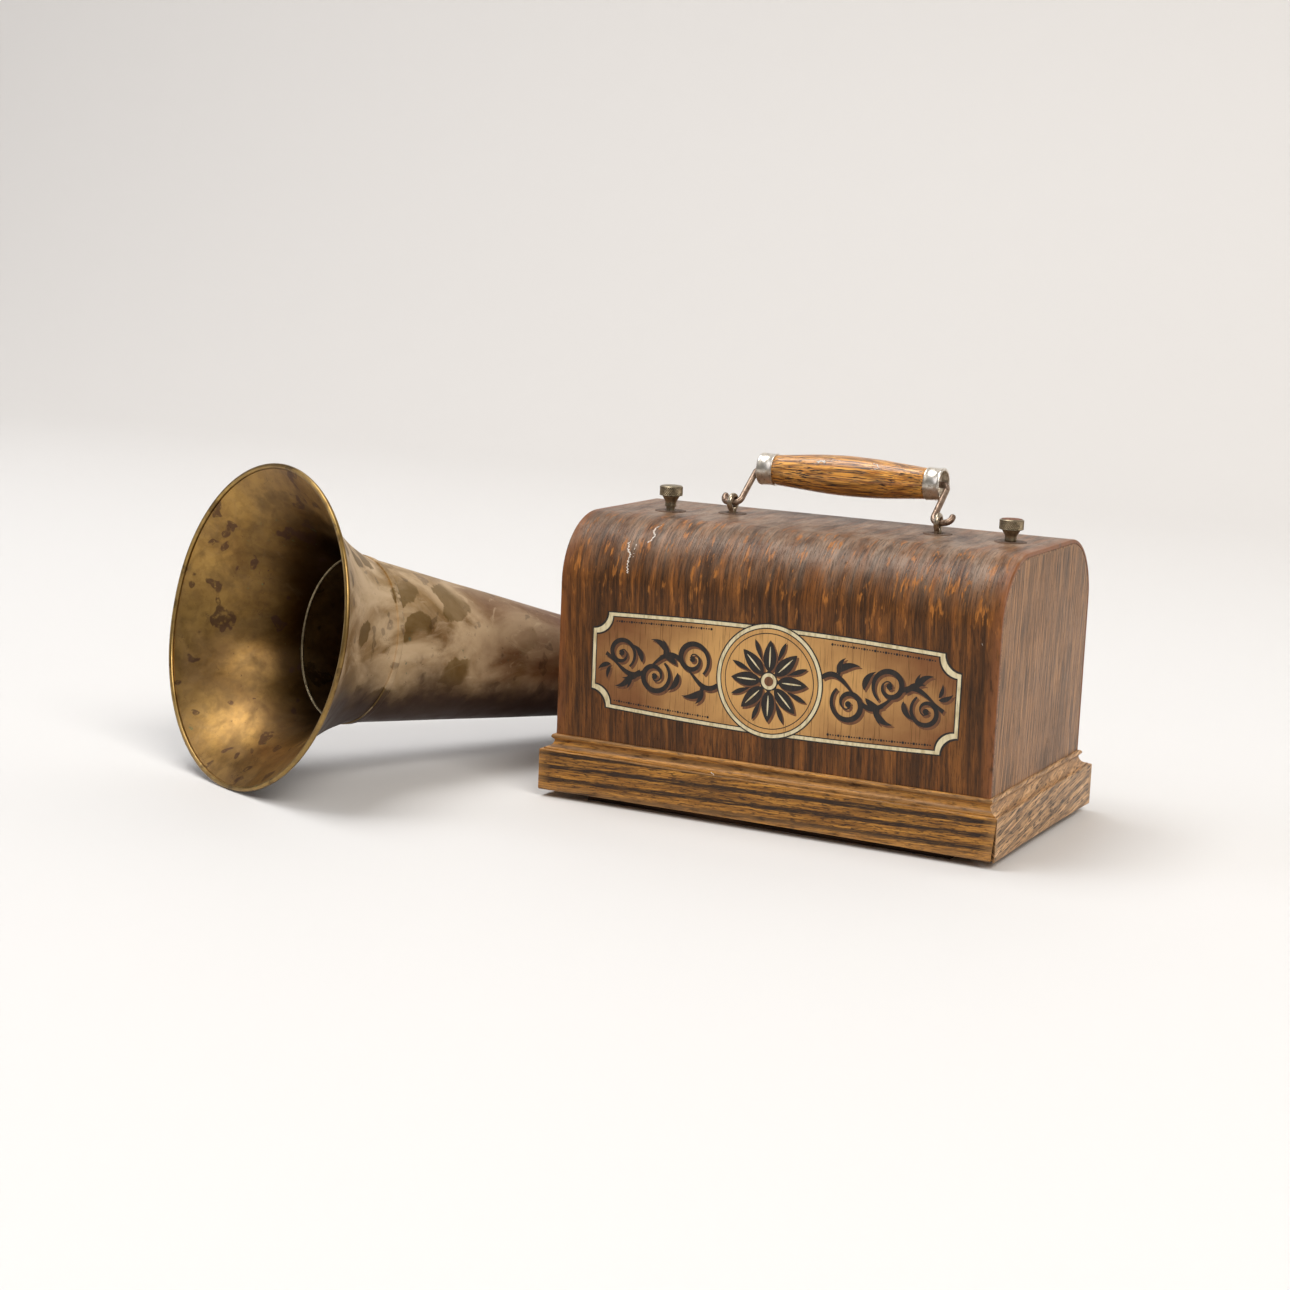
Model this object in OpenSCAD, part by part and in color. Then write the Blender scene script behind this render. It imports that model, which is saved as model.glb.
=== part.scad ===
// A cylinder talking machine in its carrying case, with its loose horn lying beside it.
// Frame: origin at the centre of the bottom board's underside, X to the right, Y to the back, Z up.

/* [Case] */
// Length of the plinth, left to right
case_l = 267; // [262:0.5:300]
// Depth of the plinth, front to back
case_d = 157.5; // [155:0.5:180]
// Height of the plinth's upright face
plinth_face_h = 23.1; // [21:0.1:28]
// Height of the moulding above that face
plinth_mould_h = 8.1; // [7.8:0.1:10]
// Thickness of the plinth boards
plinth_t = 16; // [14:0.5:18]
// Step in at the foot of the moulding
mould_step = 1.8; // [1:0.1:2.5]
// Radius of the moulding's hollow
mould_cove_r = 4.4; // [3.5:0.1:4.8]
// Radius of the bead at the top of the moulding
mould_bead_r = 1.5; // [1:0.1:1.6]
// How far the near right mitre has opened at its foot
mitre_gap = 1.6; // [0.5:0.1:3]
// Thickness of the bottom board, which lifts the plinth off the ground
base_board_t = 4; // [3:0.5:8]
// How far the bottom board stands in from the plinth's ends
base_inset_x = 27; // [15:1:40]
// How far the bottom board stands in from the plinth's front and back
base_inset_y = 9; // [5:1:12]
// Thickness of the deck board
deck_t = 10; // [6:0.5:14]
// How far the deck stands above the plinth to locate the cover
deck_rise = 2.8; // [1:0.1:4]
// Side of the glue blocks in the plinth's corners
corner_block = 18; // [12:1:24]

/* [Cover] */
// How far the cover stands in from the plinth's face
cover_inset = 6.6; // [6:0.1:8]
// Height of the cover
cover_h = 122.1; // [121.5:0.1:135]
// Radius of the cover's long top edges
cover_r = 37; // [25:0.5:40]
// Thickness of the bent wrap
wrap_t = 5; // [4:0.5:6]
// Thickness of the wrap where it laps the end boards
wrap_lap_t = 2; // [1.5:0.1:3]
// Thickness of the end boards
end_t = 8; // [6:0.5:9]
// Width of the lap of the wrap over the end boards
end_lap = 3; // [2:0.5:5]

/* [Cover screws] */
// Left screw from the cover's left end
screw_left_in = 34.5; // [32:0.1:37]
// Left screw from the centre, front to back
screw_left_y = -11.2; // [-14:0.1:0]
// Right screw from the cover's right end
screw_right_in = 23.3; // [21:0.1:27]
// Right screw from the centre, front to back
screw_right_y = 1.3; // [-3:0.1:1.4]
// Diameter of the knurled heads
screw_head_d = 13; // [10:0.1:16]
// Height of the knurled heads
screw_head_h = 6; // [4:0.1:8]
// Ridges round a head
screw_ridges = 30; // [20:1:40]
// Depth of the ridges
screw_ridge_h = 0.45; // [0.2:0.05:0.6]
// Height of the tapering neck under a head
screw_neck_h = 6; // [4:0.1:8]
// Diameter of the neck at its foot
screw_neck_d = 7.2; // [6:0.1:9]
// Diameter of the screw's shank
screw_shank_d = 5.1; // [4:0.1:5.6]
// Length of the shank below the neck
screw_shank_l = 20; // [15:1:30]
// How far the left screw is turned out
screw_left_out = 2; // [0:0.1:4]
// Diameter of the posts that take the screws
post_d = 9; // [7.5:0.1:9.4]
// Diameter of the washers under the screws
screw_washer_d = 17.5; // [15:0.5:20]
// Thickness of the washers on the cover
washer_t = 0.6; // [0.3:0.1:1]

/* [Handle] */
// Distance of the eyes from the centre
eye_x = 61.3; // [60.6:0.1:64]
// Place of the eyes, front to back
eye_y = 4.5; // [0:0.5:8]
// Height of the eyes' axis above the cover
eye_rise = 6.1; // [5.8:0.1:8]
// Diameter of the eyes' wire
eye_wire_d = 2.6; // [2:0.1:2.8]
// Inside diameter of the eyes' loops
eye_hole_d = 5.2; // [4.6:0.1:5.6]
// Diameter of the washers under the eyes
eye_washer_d = 16; // [12:0.5:18]
// Diameter of the bail's wire
bail_wire_d = 3.6; // [3:0.1:3.8]
// Length of the bail's arms
bail_arm = 29; // [26:0.5:34]
// How far the bail leans back from upright, in degrees
bail_lean = 51.7; // [0:0.1:65]
// Radius of the bail's bends
bail_bend_r = 4; // [3:0.1:4.4]
// Height of the turned up tips above the eyes' axis
bail_tip = 6.5; // [5:0.5:8]
// Length of the wooden grip between its ferrules
grip_l = 90.8; // [84:0.1:91.2]
// Diameter of the grip at its middle
grip_mid_d = 22.9; // [19:0.1:24]
// Diameter of the grip at its ends
grip_end_d = 17.4; // [15:0.1:17.6]
// Diameter of the ferrules
ferrule_d = 18.2; // [17.8:0.1:19]
// Length of the ferrules
ferrule_l = 9.5; // [8:0.1:10]
// Depth of the ferrules' open cups
ferrule_cup = 5; // [4:0.1:6]

/* [Horn] */
// Radius of the bell at its rim
horn_rim_r = 89.2; // [80:0.1:100]
// Radius of the seam between bell and cone
horn_seam_r = 46.9; // [40:0.1:52]
// Length of the bell along the horn
horn_bell_l = 61.8; // [55:0.1:75]
// Length of the cone along the horn
horn_cone_l = 350; // [300:1:380]
// Inside radius of the small end
horn_end_r = 7.5; // [7.5:0.05:8]
// Length of the straight small end
horn_end_l = 20; // [15:1:26]
// Thickness of the horn's sheet
horn_t = 0.9; // [0.7:0.1:1.4]
// Radius of the rolled rim
horn_bead_r = 1.5; // [1.2:0.1:2.2]
// Width of the lap of the bell over the cone
horn_lap = 4; // [3:0.5:6]
// Slope of the bell where it leaves the seam, in degrees
bell_start_deg = 17; // [10:1:22]
// How fast the bell opens towards its rim
bell_power = 2.3; // [1.8:0.1:3]
// Place of the rim's centre, left to right
horn_x = -273.4; // [-300:0.1:-270]
// Place of the rim's centre, front to back
horn_y = -152.5; // [-170:0.1:-150]
// Turn of the horn's axis from straight back, in degrees
horn_turn = 22.8; // [15:0.1:23]

/* [Playing gear] */
// Thickness of the cast bedplate
bedplate_t = 4; // [3:0.5:5]
// How far the bedplate stands in from the inside of the plinth
bedplate_inset = 5; // [3:0.5:8]
// Place of the mandrel, front to back
mandrel_y = -34; // [-36:0.1:-33.9]
// Height of the mandrel above the bedplate
mandrel_rise = 32; // [30:0.5:33]
// Left end of the mandrel
mandrel_x0 = -44; // [-45:0.5:-42]
// Length of the mandrel
mandrel_l = 106; // [100:1:110]
// Large diameter of the mandrel
mandrel_big_d = 46.5; // [44:0.1:48]
// Small diameter of the mandrel
mandrel_small_d = 42; // [38:0.1:43]
// Thickness of the mandrel's wall
mandrel_t = 1.8; // [1.2:0.1:3]
// Diameter of the mandrel's shaft
mandrel_shaft_d = 8; // [6:0.1:9]
// Diameter of the mandrel's pulley at its groove
mandrel_pulley_d = 19; // [17:0.1:20]
// Distance from the mandrel to the feed screw
feed_gap = 39; // [38.8:0.1:39.4]
// Diameter of the feed screw
feed_d = 7; // [6:0.1:7.2]
// Teeth of the mandrel's gear
mandrel_teeth = 26; // [20:1:30]
// Teeth of the feed screw's gear
feed_teeth = 52; // [46:1:60]
// Place of the guide rod, front to back
rod_y = 10; // [8:0.1:11]
// Height of the guide rod above the bedplate
rod_rise = 62; // [60:0.5:63]
// Diameter of the guide rod
rod_d = 8; // [6:0.1:8.4]
// Place of the reproducer along the mandrel
carriage_x = -24; // [-26:0.5:30]
// Length of the carriage's sleeve
sleeve_l = 14; // [12:0.5:16]
// Outside diameter of the carriage's sleeve
sleeve_d = 13; // [11:0.1:13.4]
// Length of each ring of the carriage's arm
arm_ring_l = 6; // [4:0.5:7]
// Height of the arm above the guide rod's axis
arm_rise = 3; // [2:0.1:4]
// Thickness of the arm's plate
arm_t = 4; // [3:0.1:4.5]
// Outside diameter of the reproducer
reproducer_d = 34; // [28:0.5:38]
// Height of the reproducer's body
reproducer_h = 9; // [7:0.1:10]
// Outside diameter of the neck that takes the horn
neck_d = 14.8; // [12:0.1:14.9]
// Length of that neck
neck_l = 12.5; // [12:0.5:14]
// Rise of the neck above level, in degrees
neck_deg = 30; // [20:1:40]

/* [Motor] */
// Place of the spring drum, front to back
drum_y = 36.5; // [36.4:0.1:36.7]
// Height of the spring drum above the bedplate
drum_rise = 27.5; // [27.5:0.1:28]
// Diameter of the spring drum
drum_d = 48; // [44:0.5:49]
// Width of the spring drum
drum_w = 34; // [30:0.5:35]
// Thickness of the drum's wall
drum_t = 1.5; // [1:0.1:2]
// Thickness of the mainspring
mainspring_t = 0.5; // [0.4:0.1:0.8]
// Turns of the mainspring
mainspring_turns = 7; // [4:1:8]
// Diameter of the winding arbor
winding_d = 8; // [6:0.1:8.4]
// Tooth size of the great wheel and second pinion
great_module = 0.8; // [0.79:0.005:0.81]
// Teeth of the great wheel
great_teeth = 64; // [63:1:65]
// Teeth of every pinion
pinion_teeth = 10; // [10:1:11]
// Tooth size of the other wheels
fine_module = 0.6; // [0.58:0.01:0.61]
// Teeth of the second wheel
second_teeth = 60; // [58:1:60]
// Teeth of the third wheel
third_teeth = 50; // [48:1:50]
// Thickness of the wheels
wheel_t = 3; // [2:0.1:3.2]
// Diameter of the thin arbors
arbor_d = 4; // [3:0.1:4.4]
// Thickness of the motor plates
plate_t = 3; // [2:0.1:3.4]
// Left face of the motor
motor_x0 = -60; // [-60.4:0.1:-59.5]
// Width of the governor's bay
governor_bay = 54; // [52:0.5:55]
// Width of the spring drum's bay
drum_bay = 47; // [46:0.5:49]
// Diameter of the drive pulley at its groove
drive_pulley_d = 28; // [26:0.1:30]
// Width of the pulleys
pulley_w = 8; // [6:0.1:8.4]
// Height of the pulleys' flanges
flange_h = 2; // [1.6:0.1:2.4]
// Thickness of the belt
belt_t = 1.2; // [0.8:0.1:1.4]
// Radius at which the governor's weights turn
governor_r = 8.5; // [7:0.1:9]
// Diameter of the governor's weights
weight_d = 6.5; // [5:0.1:7]
// Diameter of the governor's friction disc
disc_d = 22; // [18:0.5:23]
// Teeth of the ratchet wheel
ratchet_teeth = 18; // [14:1:22]
// Diameter of the ratchet wheel
ratchet_d = 24; // [20:0.5:25]
// Span of the winding key's wings
key_span = 36; // [28:1:38]

/* [Fits] */
// Radial clearance of what turns or slides
fit = 0.05; // [0.02:0.01:0.09]
// Clearance between parts that pass or lie next to each other
gap = 0.3; // [0.2:0.05:0.4]

/* [Hidden] */
$fn = 96;
eps = 0.01;

// Heights of the case, from the ground up
plinth_z = base_board_t;
plinth_top = plinth_z + plinth_face_h + plinth_mould_h;
deck_top = plinth_top + deck_rise;
bed_top = deck_top + bedplate_t;
cover_top = plinth_top + cover_h;
cover_under = cover_top - wrap_t;
// Half sizes of the case in plan
half_l = case_l / 2;
half_d = case_d / 2;
cover_half_l = half_l - cover_inset;
cover_half_d = half_d - cover_inset;
inner_half_l = half_l - plinth_t;
inner_half_d = half_d - plinth_t;
screw_left_x = screw_left_in - cover_half_l;
screw_right_x = cover_half_l - screw_right_in;

// The carrying handle, laid out from its pivot
pivot_z = cover_top + eye_rise;
grip_r = bail_wire_d / 2 + fit;
grip_half = grip_l / 2 + ferrule_l;
ARM_CLEAR = 0.8;
TIP_CLEAR = 1;
arm_x = grip_half + bail_wire_d / 2 + ARM_CLEAR;
tip_x = eye_x + eye_wire_d / 2 + bail_bend_r + TIP_CLEAR;

// The horn, laid along its own axis: 0 at the rim, growing towards the small end
end_out_r = horn_end_r + horn_t;
horn_l = horn_bell_l + horn_cone_l + horn_end_l;
horn_drop = horn_rim_r - end_out_r;
horn_tilt = atan(horn_drop / horn_l) + asin(horn_bead_r / norm([horn_drop, horn_l]));
horn_z = horn_rim_r * cos(horn_tilt) + horn_bead_r;
bell_slope = tan(bell_start_deg) * horn_bell_l;
BELL_STEPS = 20;

// Places of the arbors, as [Y, Z]
mandrel_at = [mandrel_y, bed_top + mandrel_rise];
feed_at = mandrel_at + [feed_gap, 0];
rod_at = [rod_y, bed_top + rod_rise];
drum_at = [drum_y, bed_top + drum_rise];
SECOND_DEG = 80;
THIRD_DEG = 255;
GOVERNOR_DEG = 285;
second_at = drum_at + great_module * (great_teeth + pinion_teeth) / 2 * [cos(SECOND_DEG), sin(SECOND_DEG)];
third_at = second_at + fine_module * (second_teeth + pinion_teeth) / 2 * [cos(THIRD_DEG), sin(THIRD_DEG)];
governor_at = third_at
    + fine_module * (third_teeth + pinion_teeth) / 2 * [cos(GOVERNOR_DEG), sin(GOVERNOR_DEG)];
feed_module = 2 * feed_gap / (mandrel_teeth + feed_teeth);

// Places along X
plate_left_x = motor_x0;
plate_centre_x = plate_left_x + plate_t + governor_bay;
plate_right_x = plate_centre_x + plate_t + drum_bay;
great_x = plate_centre_x + plate_t + 6;
drum_x = great_x + wheel_t;
second_x = plate_centre_x - wheel_t - 3;
third_x = second_x - wheel_t - 8;
standard_t = 6;
standard_x = motor_x0 + 4;
OUTER_SPAN = 30;
outer_x = standard_x - OUTER_SPAN;
pulley_x = standard_x - 20;
feed_gear_x = standard_x - 9;
feed_gear_t = 4;
right_x = mandrel_x0 + mandrel_l + 18;

// Places an upright child, made along Z, so that it runs along X from x at the arbor p
module along_x(x, p) {
    translate([x, p[0], p[1]]) rotate([90, 0, 90]) children();
}

// A plain shaft along X
module shaft(x0, x1, p, d) {
    along_x(x0, p) cylinder(h = x1 - x0, d = d);
}

// A ring along X with a bore
module ring(x0, x1, p, d, bore) {
    along_x(x0, p) difference() {
        cylinder(h = x1 - x0, d = d);
        translate([0, 0, -1]) cylinder(h = x1 - x0 + 2, d = bore);
    }
}

// Outline of a gear with straight-flanked teeth; a tooth points along its local X after the turn
module gear_outline(teeth, size, turn) {
    root = size * teeth / 2 - 1.15 * size;
    tip = size * teeth / 2 + 0.75 * size;
    pitch = 360 / teeth;
    polygon([for (i = [0 : teeth - 1], q = [[root, -0.31], [tip, -0.1], [tip, 0.1], [root, 0.31]])
        q[0] * [cos(turn + (i + q[1]) * pitch), sin(turn + (i + q[1]) * pitch)]]);
}

// A spoked wheel with teeth; spokes = 0 leaves it solid
module toothed_wheel(teeth, size, turn, t, bore, spokes) {
    rim = size * teeth / 2 - 3.4 * size;
    hub = bore / 2 + 3.5;
    spoke_w = 2.6;
    linear_extrude(t) difference() {
        gear_outline(teeth, size, turn);
        circle(d = bore);
        if (spokes > 0) {
            difference() {
                circle(rim);
                circle(hub);
                for (i = [0 : spokes - 1])
                    rotate(i * 360 / spokes) translate([0, -spoke_w / 2]) square([rim + 1, spoke_w]);
            }
        }
    }
}

// Outline of the cover seen from its end, drawn in by an amount
module cover_outline(inset) {
    flat = cover_h - cover_r;
    r = cover_r - inset;
    translate([inset - cover_half_d, 0]) square([2 * (cover_half_d - inset), flat]);
    translate([cover_r - cover_half_d, 0]) square([2 * (cover_half_d - cover_r), cover_h - inset]);
    for (s = [-1, 1]) translate([s * (cover_half_d - cover_r), flat]) circle(r);
}

// A length of the cover's outline, from x0 to x1
module cover_run(x0, x1, inset) {
    translate([x0, 0, plinth_top]) rotate([90, 0, 90]) linear_extrude(x1 - x0) cover_outline(inset);
}

// Section of the plinth's boards: X outwards from the inside face, Y up from the plinth's foot
module plinth_section() {
    out = plinth_t;
    cove_z = plinth_face_h + 0.6;
    difference() {
        union() {
            square([out, plinth_face_h]);
            square([out - mould_step, plinth_face_h + plinth_mould_h - 2 * mould_bead_r]);
            square([out - mould_step - mould_cove_r, plinth_face_h + plinth_mould_h]);
            translate([out - mould_step - mould_cove_r, plinth_face_h + plinth_mould_h - mould_bead_r])
                circle(mould_bead_r, $fn = 48);
        }
        translate([out - mould_step, cove_z + mould_cove_r]) circle(mould_cove_r);
        translate([out - mould_step, cove_z + mould_cove_r]) square([mould_step + 1, plinth_mould_h]);
    }
}

// A straight run of plinth board along X with its face to the front, of half length half_run
module plinth_board(half_run, half_across) {
    intersection() {
        translate([-half_run, plinth_t - half_across, plinth_z])
            rotate([90, 0, 90]) mirror([1, 0, 0]) linear_extrude(2 * half_run) plinth_section();
        translate([0, 0, plinth_z - 1]) linear_extrude(plinth_face_h + plinth_mould_h + 2)
            polygon([[-half_run, -half_across], [half_run, -half_across],
                [half_run - plinth_t - 4, plinth_t + 4 - half_across],
                [plinth_t + 4 - half_run, plinth_t + 4 - half_across]]);
    }
}

module base_board() {
    color("#3a2a20") difference() {
        translate([base_inset_x - half_l, base_inset_y - half_d, 0])
            cube([case_l - 2 * base_inset_x, case_d - 2 * base_inset_y, base_board_t]);
        for (x = [-1, 1], y = [-1, 1])
            translate([x * (half_l - base_inset_x - 10), y * (half_d - base_inset_y - 7), -1])
                cylinder(h = 2.5, d = 7);
    }
}

// The wedge by which the near right mitre has opened
module opened_mitre() {
    translate([half_l, -half_d, plinth_z]) rotate([0, 0, 135]) rotate([90, 0, 90])
        linear_extrude(2 * plinth_t) polygon([[-eps, -1], [mitre_gap, -1], [-eps, plinth_face_h + 2]]);
}

module plinth_front() {
    color("#9a6b35") difference() {
        plinth_board(half_l, half_d);
        opened_mitre();
    }
}

module plinth_back() {
    color("#9a6b35") rotate([0, 0, 180]) plinth_board(half_l, half_d);
}

module plinth_left() {
    color("#a07a5a") rotate([0, 0, -90]) plinth_board(half_d, half_l);
}

module plinth_right() {
    color("#a07a5a") rotate([0, 0, 90]) plinth_board(half_d, half_l);
}

module deck_board() {
    color("#6b4a2c") translate([-inner_half_l, -inner_half_d, deck_top - deck_t])
        cube([2 * inner_half_l, 2 * inner_half_d, deck_t]);
}

module corner_blocks() {
    color("#8a6a45") for (x = [-1, 1], y = [-1, 1])
        translate([x * (inner_half_l - corner_block / 2), y * (inner_half_d - corner_block / 2),
            plinth_z + (deck_top - deck_t - plinth_z) / 2])
            cube([corner_block, corner_block, deck_top - deck_t - plinth_z], center = true);
}

// Places of the bedplate's screws
bed_half_l = inner_half_l - bedplate_inset;
bed_half_d = inner_half_d - bedplate_inset;
BED_SCREW_IN = 7;
bed_screw_d = 4;
module bedplate() {
    r = 6;
    color("#22201e") translate([0, 0, deck_top]) difference() {
        linear_extrude(bedplate_t) {
            square([2 * bed_half_l, 2 * (bed_half_d - r)], center = true);
            square([2 * (bed_half_l - r), 2 * bed_half_d], center = true);
            for (x = [-1, 1], y = [-1, 1]) translate([x * (bed_half_l - r), y * (bed_half_d - r)]) circle(r);
        }
        for (x = [-1, 1], y = [-1, 1])
            translate([x * (bed_half_l - BED_SCREW_IN), y * (bed_half_d - BED_SCREW_IN), -1])
                cylinder(h = bedplate_t + 2, d = bed_screw_d);
    }
}

module bedplate_screws() {
    head_d = 7.5;
    head_h = 2.4;
    color("#8a8578") for (x = [-1, 1], y = [-1, 1])
        translate([x * (bed_half_l - BED_SCREW_IN), y * (bed_half_d - BED_SCREW_IN), 0]) difference() {
            union() {
                translate([0, 0, deck_top]) cylinder(h = bedplate_t, d = bed_screw_d);
                intersection() {
                    translate([0, 0, bed_top]) cylinder(h = head_h, d = head_d);
                    translate([0, 0, bed_top + head_h - head_d]) sphere(r = head_d);
                }
            }
            translate([-head_d, -0.5, bed_top + head_h - 1]) cube([2 * head_d, 1, 2]);
        }
}

// The two tapped posts that take the cover screws
module cover_posts() {
    color("#8c7440") for (p = [[screw_left_x, screw_left_y], [screw_right_x, screw_right_y]])
        translate([p[0], p[1], 0]) difference() {
            union() {
                translate([0, 0, bed_top]) cylinder(h = cover_under - gap - bed_top, d = post_d);
                translate([0, 0, bed_top]) cylinder(h = 3, d = post_d + 5);
            }
            translate([0, 0, cover_top - screw_shank_l - 4])
                cylinder(h = screw_shank_l + 4, d = screw_shank_d + 2 * fit);
        }
}

// A web between two bosses, seen along X: p and q are [Y, Z], w the width at each end
module web(p, q, w1, w2) {
    a = atan2(q[1] - p[1], q[0] - p[0]);
    n = [-sin(a), cos(a)];
    polygon([p - n * w1 / 2, q - n * w2 / 2, q + n * w2 / 2, p + n * w1 / 2]);
}

MANDREL_BUSH_D = 12;
FEED_BUSH_D = 9.5;
MANDREL_BOSS_R = 9;
FEED_BOSS_R = 7.5;
RIGHT_BOSS_R = 6.5;
ROD_BOSS_R = 7;
LEG_TOP_W = 12;
LEG_FOOT_W = 22;
FEED_LEG_TOP_W = 10;
FEED_LEG_FOOT_W = 18;
ARM_W = 7;
ROD_ARM_W = 9;
FOOT_T = 5;
FOOT_FRONT = 13;
FOOT_W = 24;
module standard_bosses() {
    translate(mandrel_at) circle(MANDREL_BOSS_R);
    translate(feed_at) circle(FEED_BOSS_R);
    translate(rod_at) circle(ROD_BOSS_R);
}

// The mandrel's leg, the same in both uprights
module mandrel_leg() {
    web(mandrel_at, [mandrel_y, bed_top], LEG_TOP_W, LEG_FOOT_W);
}

// The casting that carries the mandrel's shaft in two uprights and the ends of screw and rod
module mandrel_standard() {
    back = rod_y + ROD_BOSS_R;
    front = mandrel_y - FOOT_FRONT;
    color("#2c2a28") difference() {
        union() {
            translate([standard_x, 0, 0]) rotate([90, 0, 90]) linear_extrude(standard_t) {
                standard_bosses();
                mandrel_leg();
                web(feed_at, [feed_at[0], bed_top], FEED_LEG_TOP_W, FEED_LEG_FOOT_W);
                web(mandrel_at, feed_at, ARM_W, ARM_W);
                web(feed_at, rod_at, ROD_ARM_W, ROD_ARM_W);
            }
            translate([outer_x, 0, 0]) rotate([90, 0, 90]) linear_extrude(standard_t) {
                translate(mandrel_at) circle(MANDREL_BOSS_R);
                mandrel_leg();
            }
            translate([outer_x, front, bed_top]) cube([standard_x + standard_t - outer_x, FOOT_W, FOOT_T]);
            translate([standard_x, front, bed_top]) cube([standard_t, back - front, FOOT_T]);
        }
        shaft(outer_x - 1, standard_x + standard_t + 1, mandrel_at, MANDREL_BUSH_D);
        shaft(standard_x - 1, standard_x + standard_t + 1, feed_at, FEED_BUSH_D);
        shaft(standard_x - 1, standard_x + standard_t + 1, rod_at, rod_d);
    }
}

module right_standard() {
    color("#2c2a28") difference() {
        translate([right_x, 0, 0]) rotate([90, 0, 90]) linear_extrude(standard_t) {
            translate(feed_at) circle(RIGHT_BOSS_R);
            translate(rod_at) circle(ROD_BOSS_R);
            web(feed_at, rod_at, ARM_W, ARM_W);
            web(feed_at, [feed_at[0], bed_top], ROD_ARM_W, FEED_LEG_FOOT_W);
            translate([feed_at[0] - FEED_LEG_FOOT_W / 2, bed_top]) square([LEG_FOOT_W, FOOT_T]);
        }
        shaft(right_x - 1, right_x + standard_t + 1, feed_at, FEED_BUSH_D);
        shaft(right_x - 1, right_x + standard_t + 1, rod_at, rod_d);
    }
}

module bearing_bushes() {
    color("#b08a4a") {
        ring(outer_x, outer_x + standard_t, mandrel_at, MANDREL_BUSH_D, mandrel_shaft_d + 2 * fit);
        ring(standard_x, standard_x + standard_t, mandrel_at, MANDREL_BUSH_D, mandrel_shaft_d + 2 * fit);
        ring(standard_x, standard_x + standard_t, feed_at, FEED_BUSH_D, feed_d + 2 * fit);
        ring(right_x, right_x + standard_t, feed_at, FEED_BUSH_D, feed_d + 2 * fit);
    }
}

module guide_rod() {
    color("#b5b2ac") shaft(standard_x, right_x + standard_t, rod_at, rod_d);
}

// Outline of a motor plate, from its front edge; each of its bores is given as [place, diameter]
PLATE_BACK = 62;
PLATE_FRONT = 21;
module plate_outline(front) {
    top = second_at[1];
    translate([front, bed_top]) square([PLATE_BACK - front, 6]);
    translate(second_at) circle(11);
    polygon([[front, bed_top], [PLATE_BACK, bed_top], [PLATE_BACK, top - 6], [second_at[0] + 9, top + 6],
        [second_at[0] - 9, top + 6], [PLATE_FRONT + 2, top - 12], [PLATE_FRONT + 2, top - 30],
        [front, bed_top + 12]]);
}

module motor_plate(x, front, bores) {
    translate([x, 0, 0]) rotate([90, 0, 90]) linear_extrude(plate_t) difference() {
        plate_outline(front);
        for (b = bores) translate(b[0]) circle(d = b[1]);
    }
}

module motor_plate_left() {
    color("#a8874a") motor_plate(plate_left_x, PLATE_FRONT,
        [[second_at, arbor_d + 2 * fit], [third_at, arbor_d + 2 * fit], [governor_at, arbor_d - 1 + 2 * fit],
        [speed_at, SPEED_SHANK + 2 * fit], [brake_at, BRAKE_STUD + 2 * fit]]);
}

module motor_plate_centre() {
    color("#a8874a") motor_plate(plate_centre_x, PLATE_FRONT - 6,
        [[second_at, arbor_d + 2 * fit], [third_at, arbor_d + 2 * fit], [governor_at, arbor_d - 1 + 2 * fit],
        [drum_at, winding_d + 2 * fit]]);
}

module motor_plate_right() {
    color("#a8874a") motor_plate(plate_right_x, PLATE_FRONT - 6,
        [[second_at, arbor_d + 2 * fit], [drum_at, winding_d + 2 * fit], [click_at, CLICK_PIN]]);
}

// Pillars of the two bays, as [Y, Z], each between its two plates
PILLAR_D = 5;
PILLAR_RISE = 37;
module motor_pillars() {
    top = second_at[1];
    back = PLATE_BACK - 3;
    left_bay = [[PLATE_FRONT + 3.5, bed_top + 4], [back, bed_top + 4], [back, bed_top + PILLAR_RISE]];
    right_bay = [[PLATE_FRONT - 2, bed_top + 3], [back + 0.4, bed_top + 2.8], [back - 0.4, top - 9]];
    color("#c0a060") {
        for (p = left_bay) shaft(plate_left_x + plate_t, plate_centre_x, p, PILLAR_D);
        for (p = right_bay) shaft(plate_centre_x + plate_t, plate_right_x, p, PILLAR_D);
    }
}

// The belt: two arcs on the pulleys and the two straight strands between them
module drive_belt() {
    r1 = mandrel_pulley_d / 2 + gap;
    r2 = drive_pulley_d / 2 + gap;
    span = third_at - mandrel_at;
    dist = norm(span);
    lean = atan2(span[1], span[0]);
    open = acos((r2 - r1) / dist);
    width = pulley_w - 2 * 1.5 - 2 * gap;
    strand = sqrt(dist * dist - (r2 - r1) * (r2 - r1));
    color("#4a3020") along_x(pulley_x + 1.5 + gap, mandrel_at) rotate([0, 0, lean]) {
        rotate([0, 0, 180 - open]) rotate_extrude(angle = 2 * open)
            translate([r1, 0]) square([belt_t, width]);
        translate([dist, 0, 0]) rotate([0, 0, open - 180]) rotate_extrude(angle = 360 - 2 * open)
            translate([r2, 0]) square([belt_t, width]);
        for (s = [0, 1]) mirror([0, s, 0]) rotate([0, 0, 90 - open])
            translate([0, r1, 0]) cube([strand, belt_t, width]);
    }
}

// The hole that both legs of an eye go through
EYE_PLAY = 0.1;
EYE_LEG_GAP = 0.15;
EYE_CLENCH = 4;
eye_leg = eye_wire_d / 2 + EYE_LEG_GAP;
module eye_hole(h) {
    linear_extrude(h) {
        for (t = [-1, 1]) translate([0, t * eye_leg]) circle(d = eye_wire_d + 2 * EYE_PLAY);
        square([eye_wire_d - 4 * EYE_LEG_GAP, 2 * eye_leg], center = true);
    }
}

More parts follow.
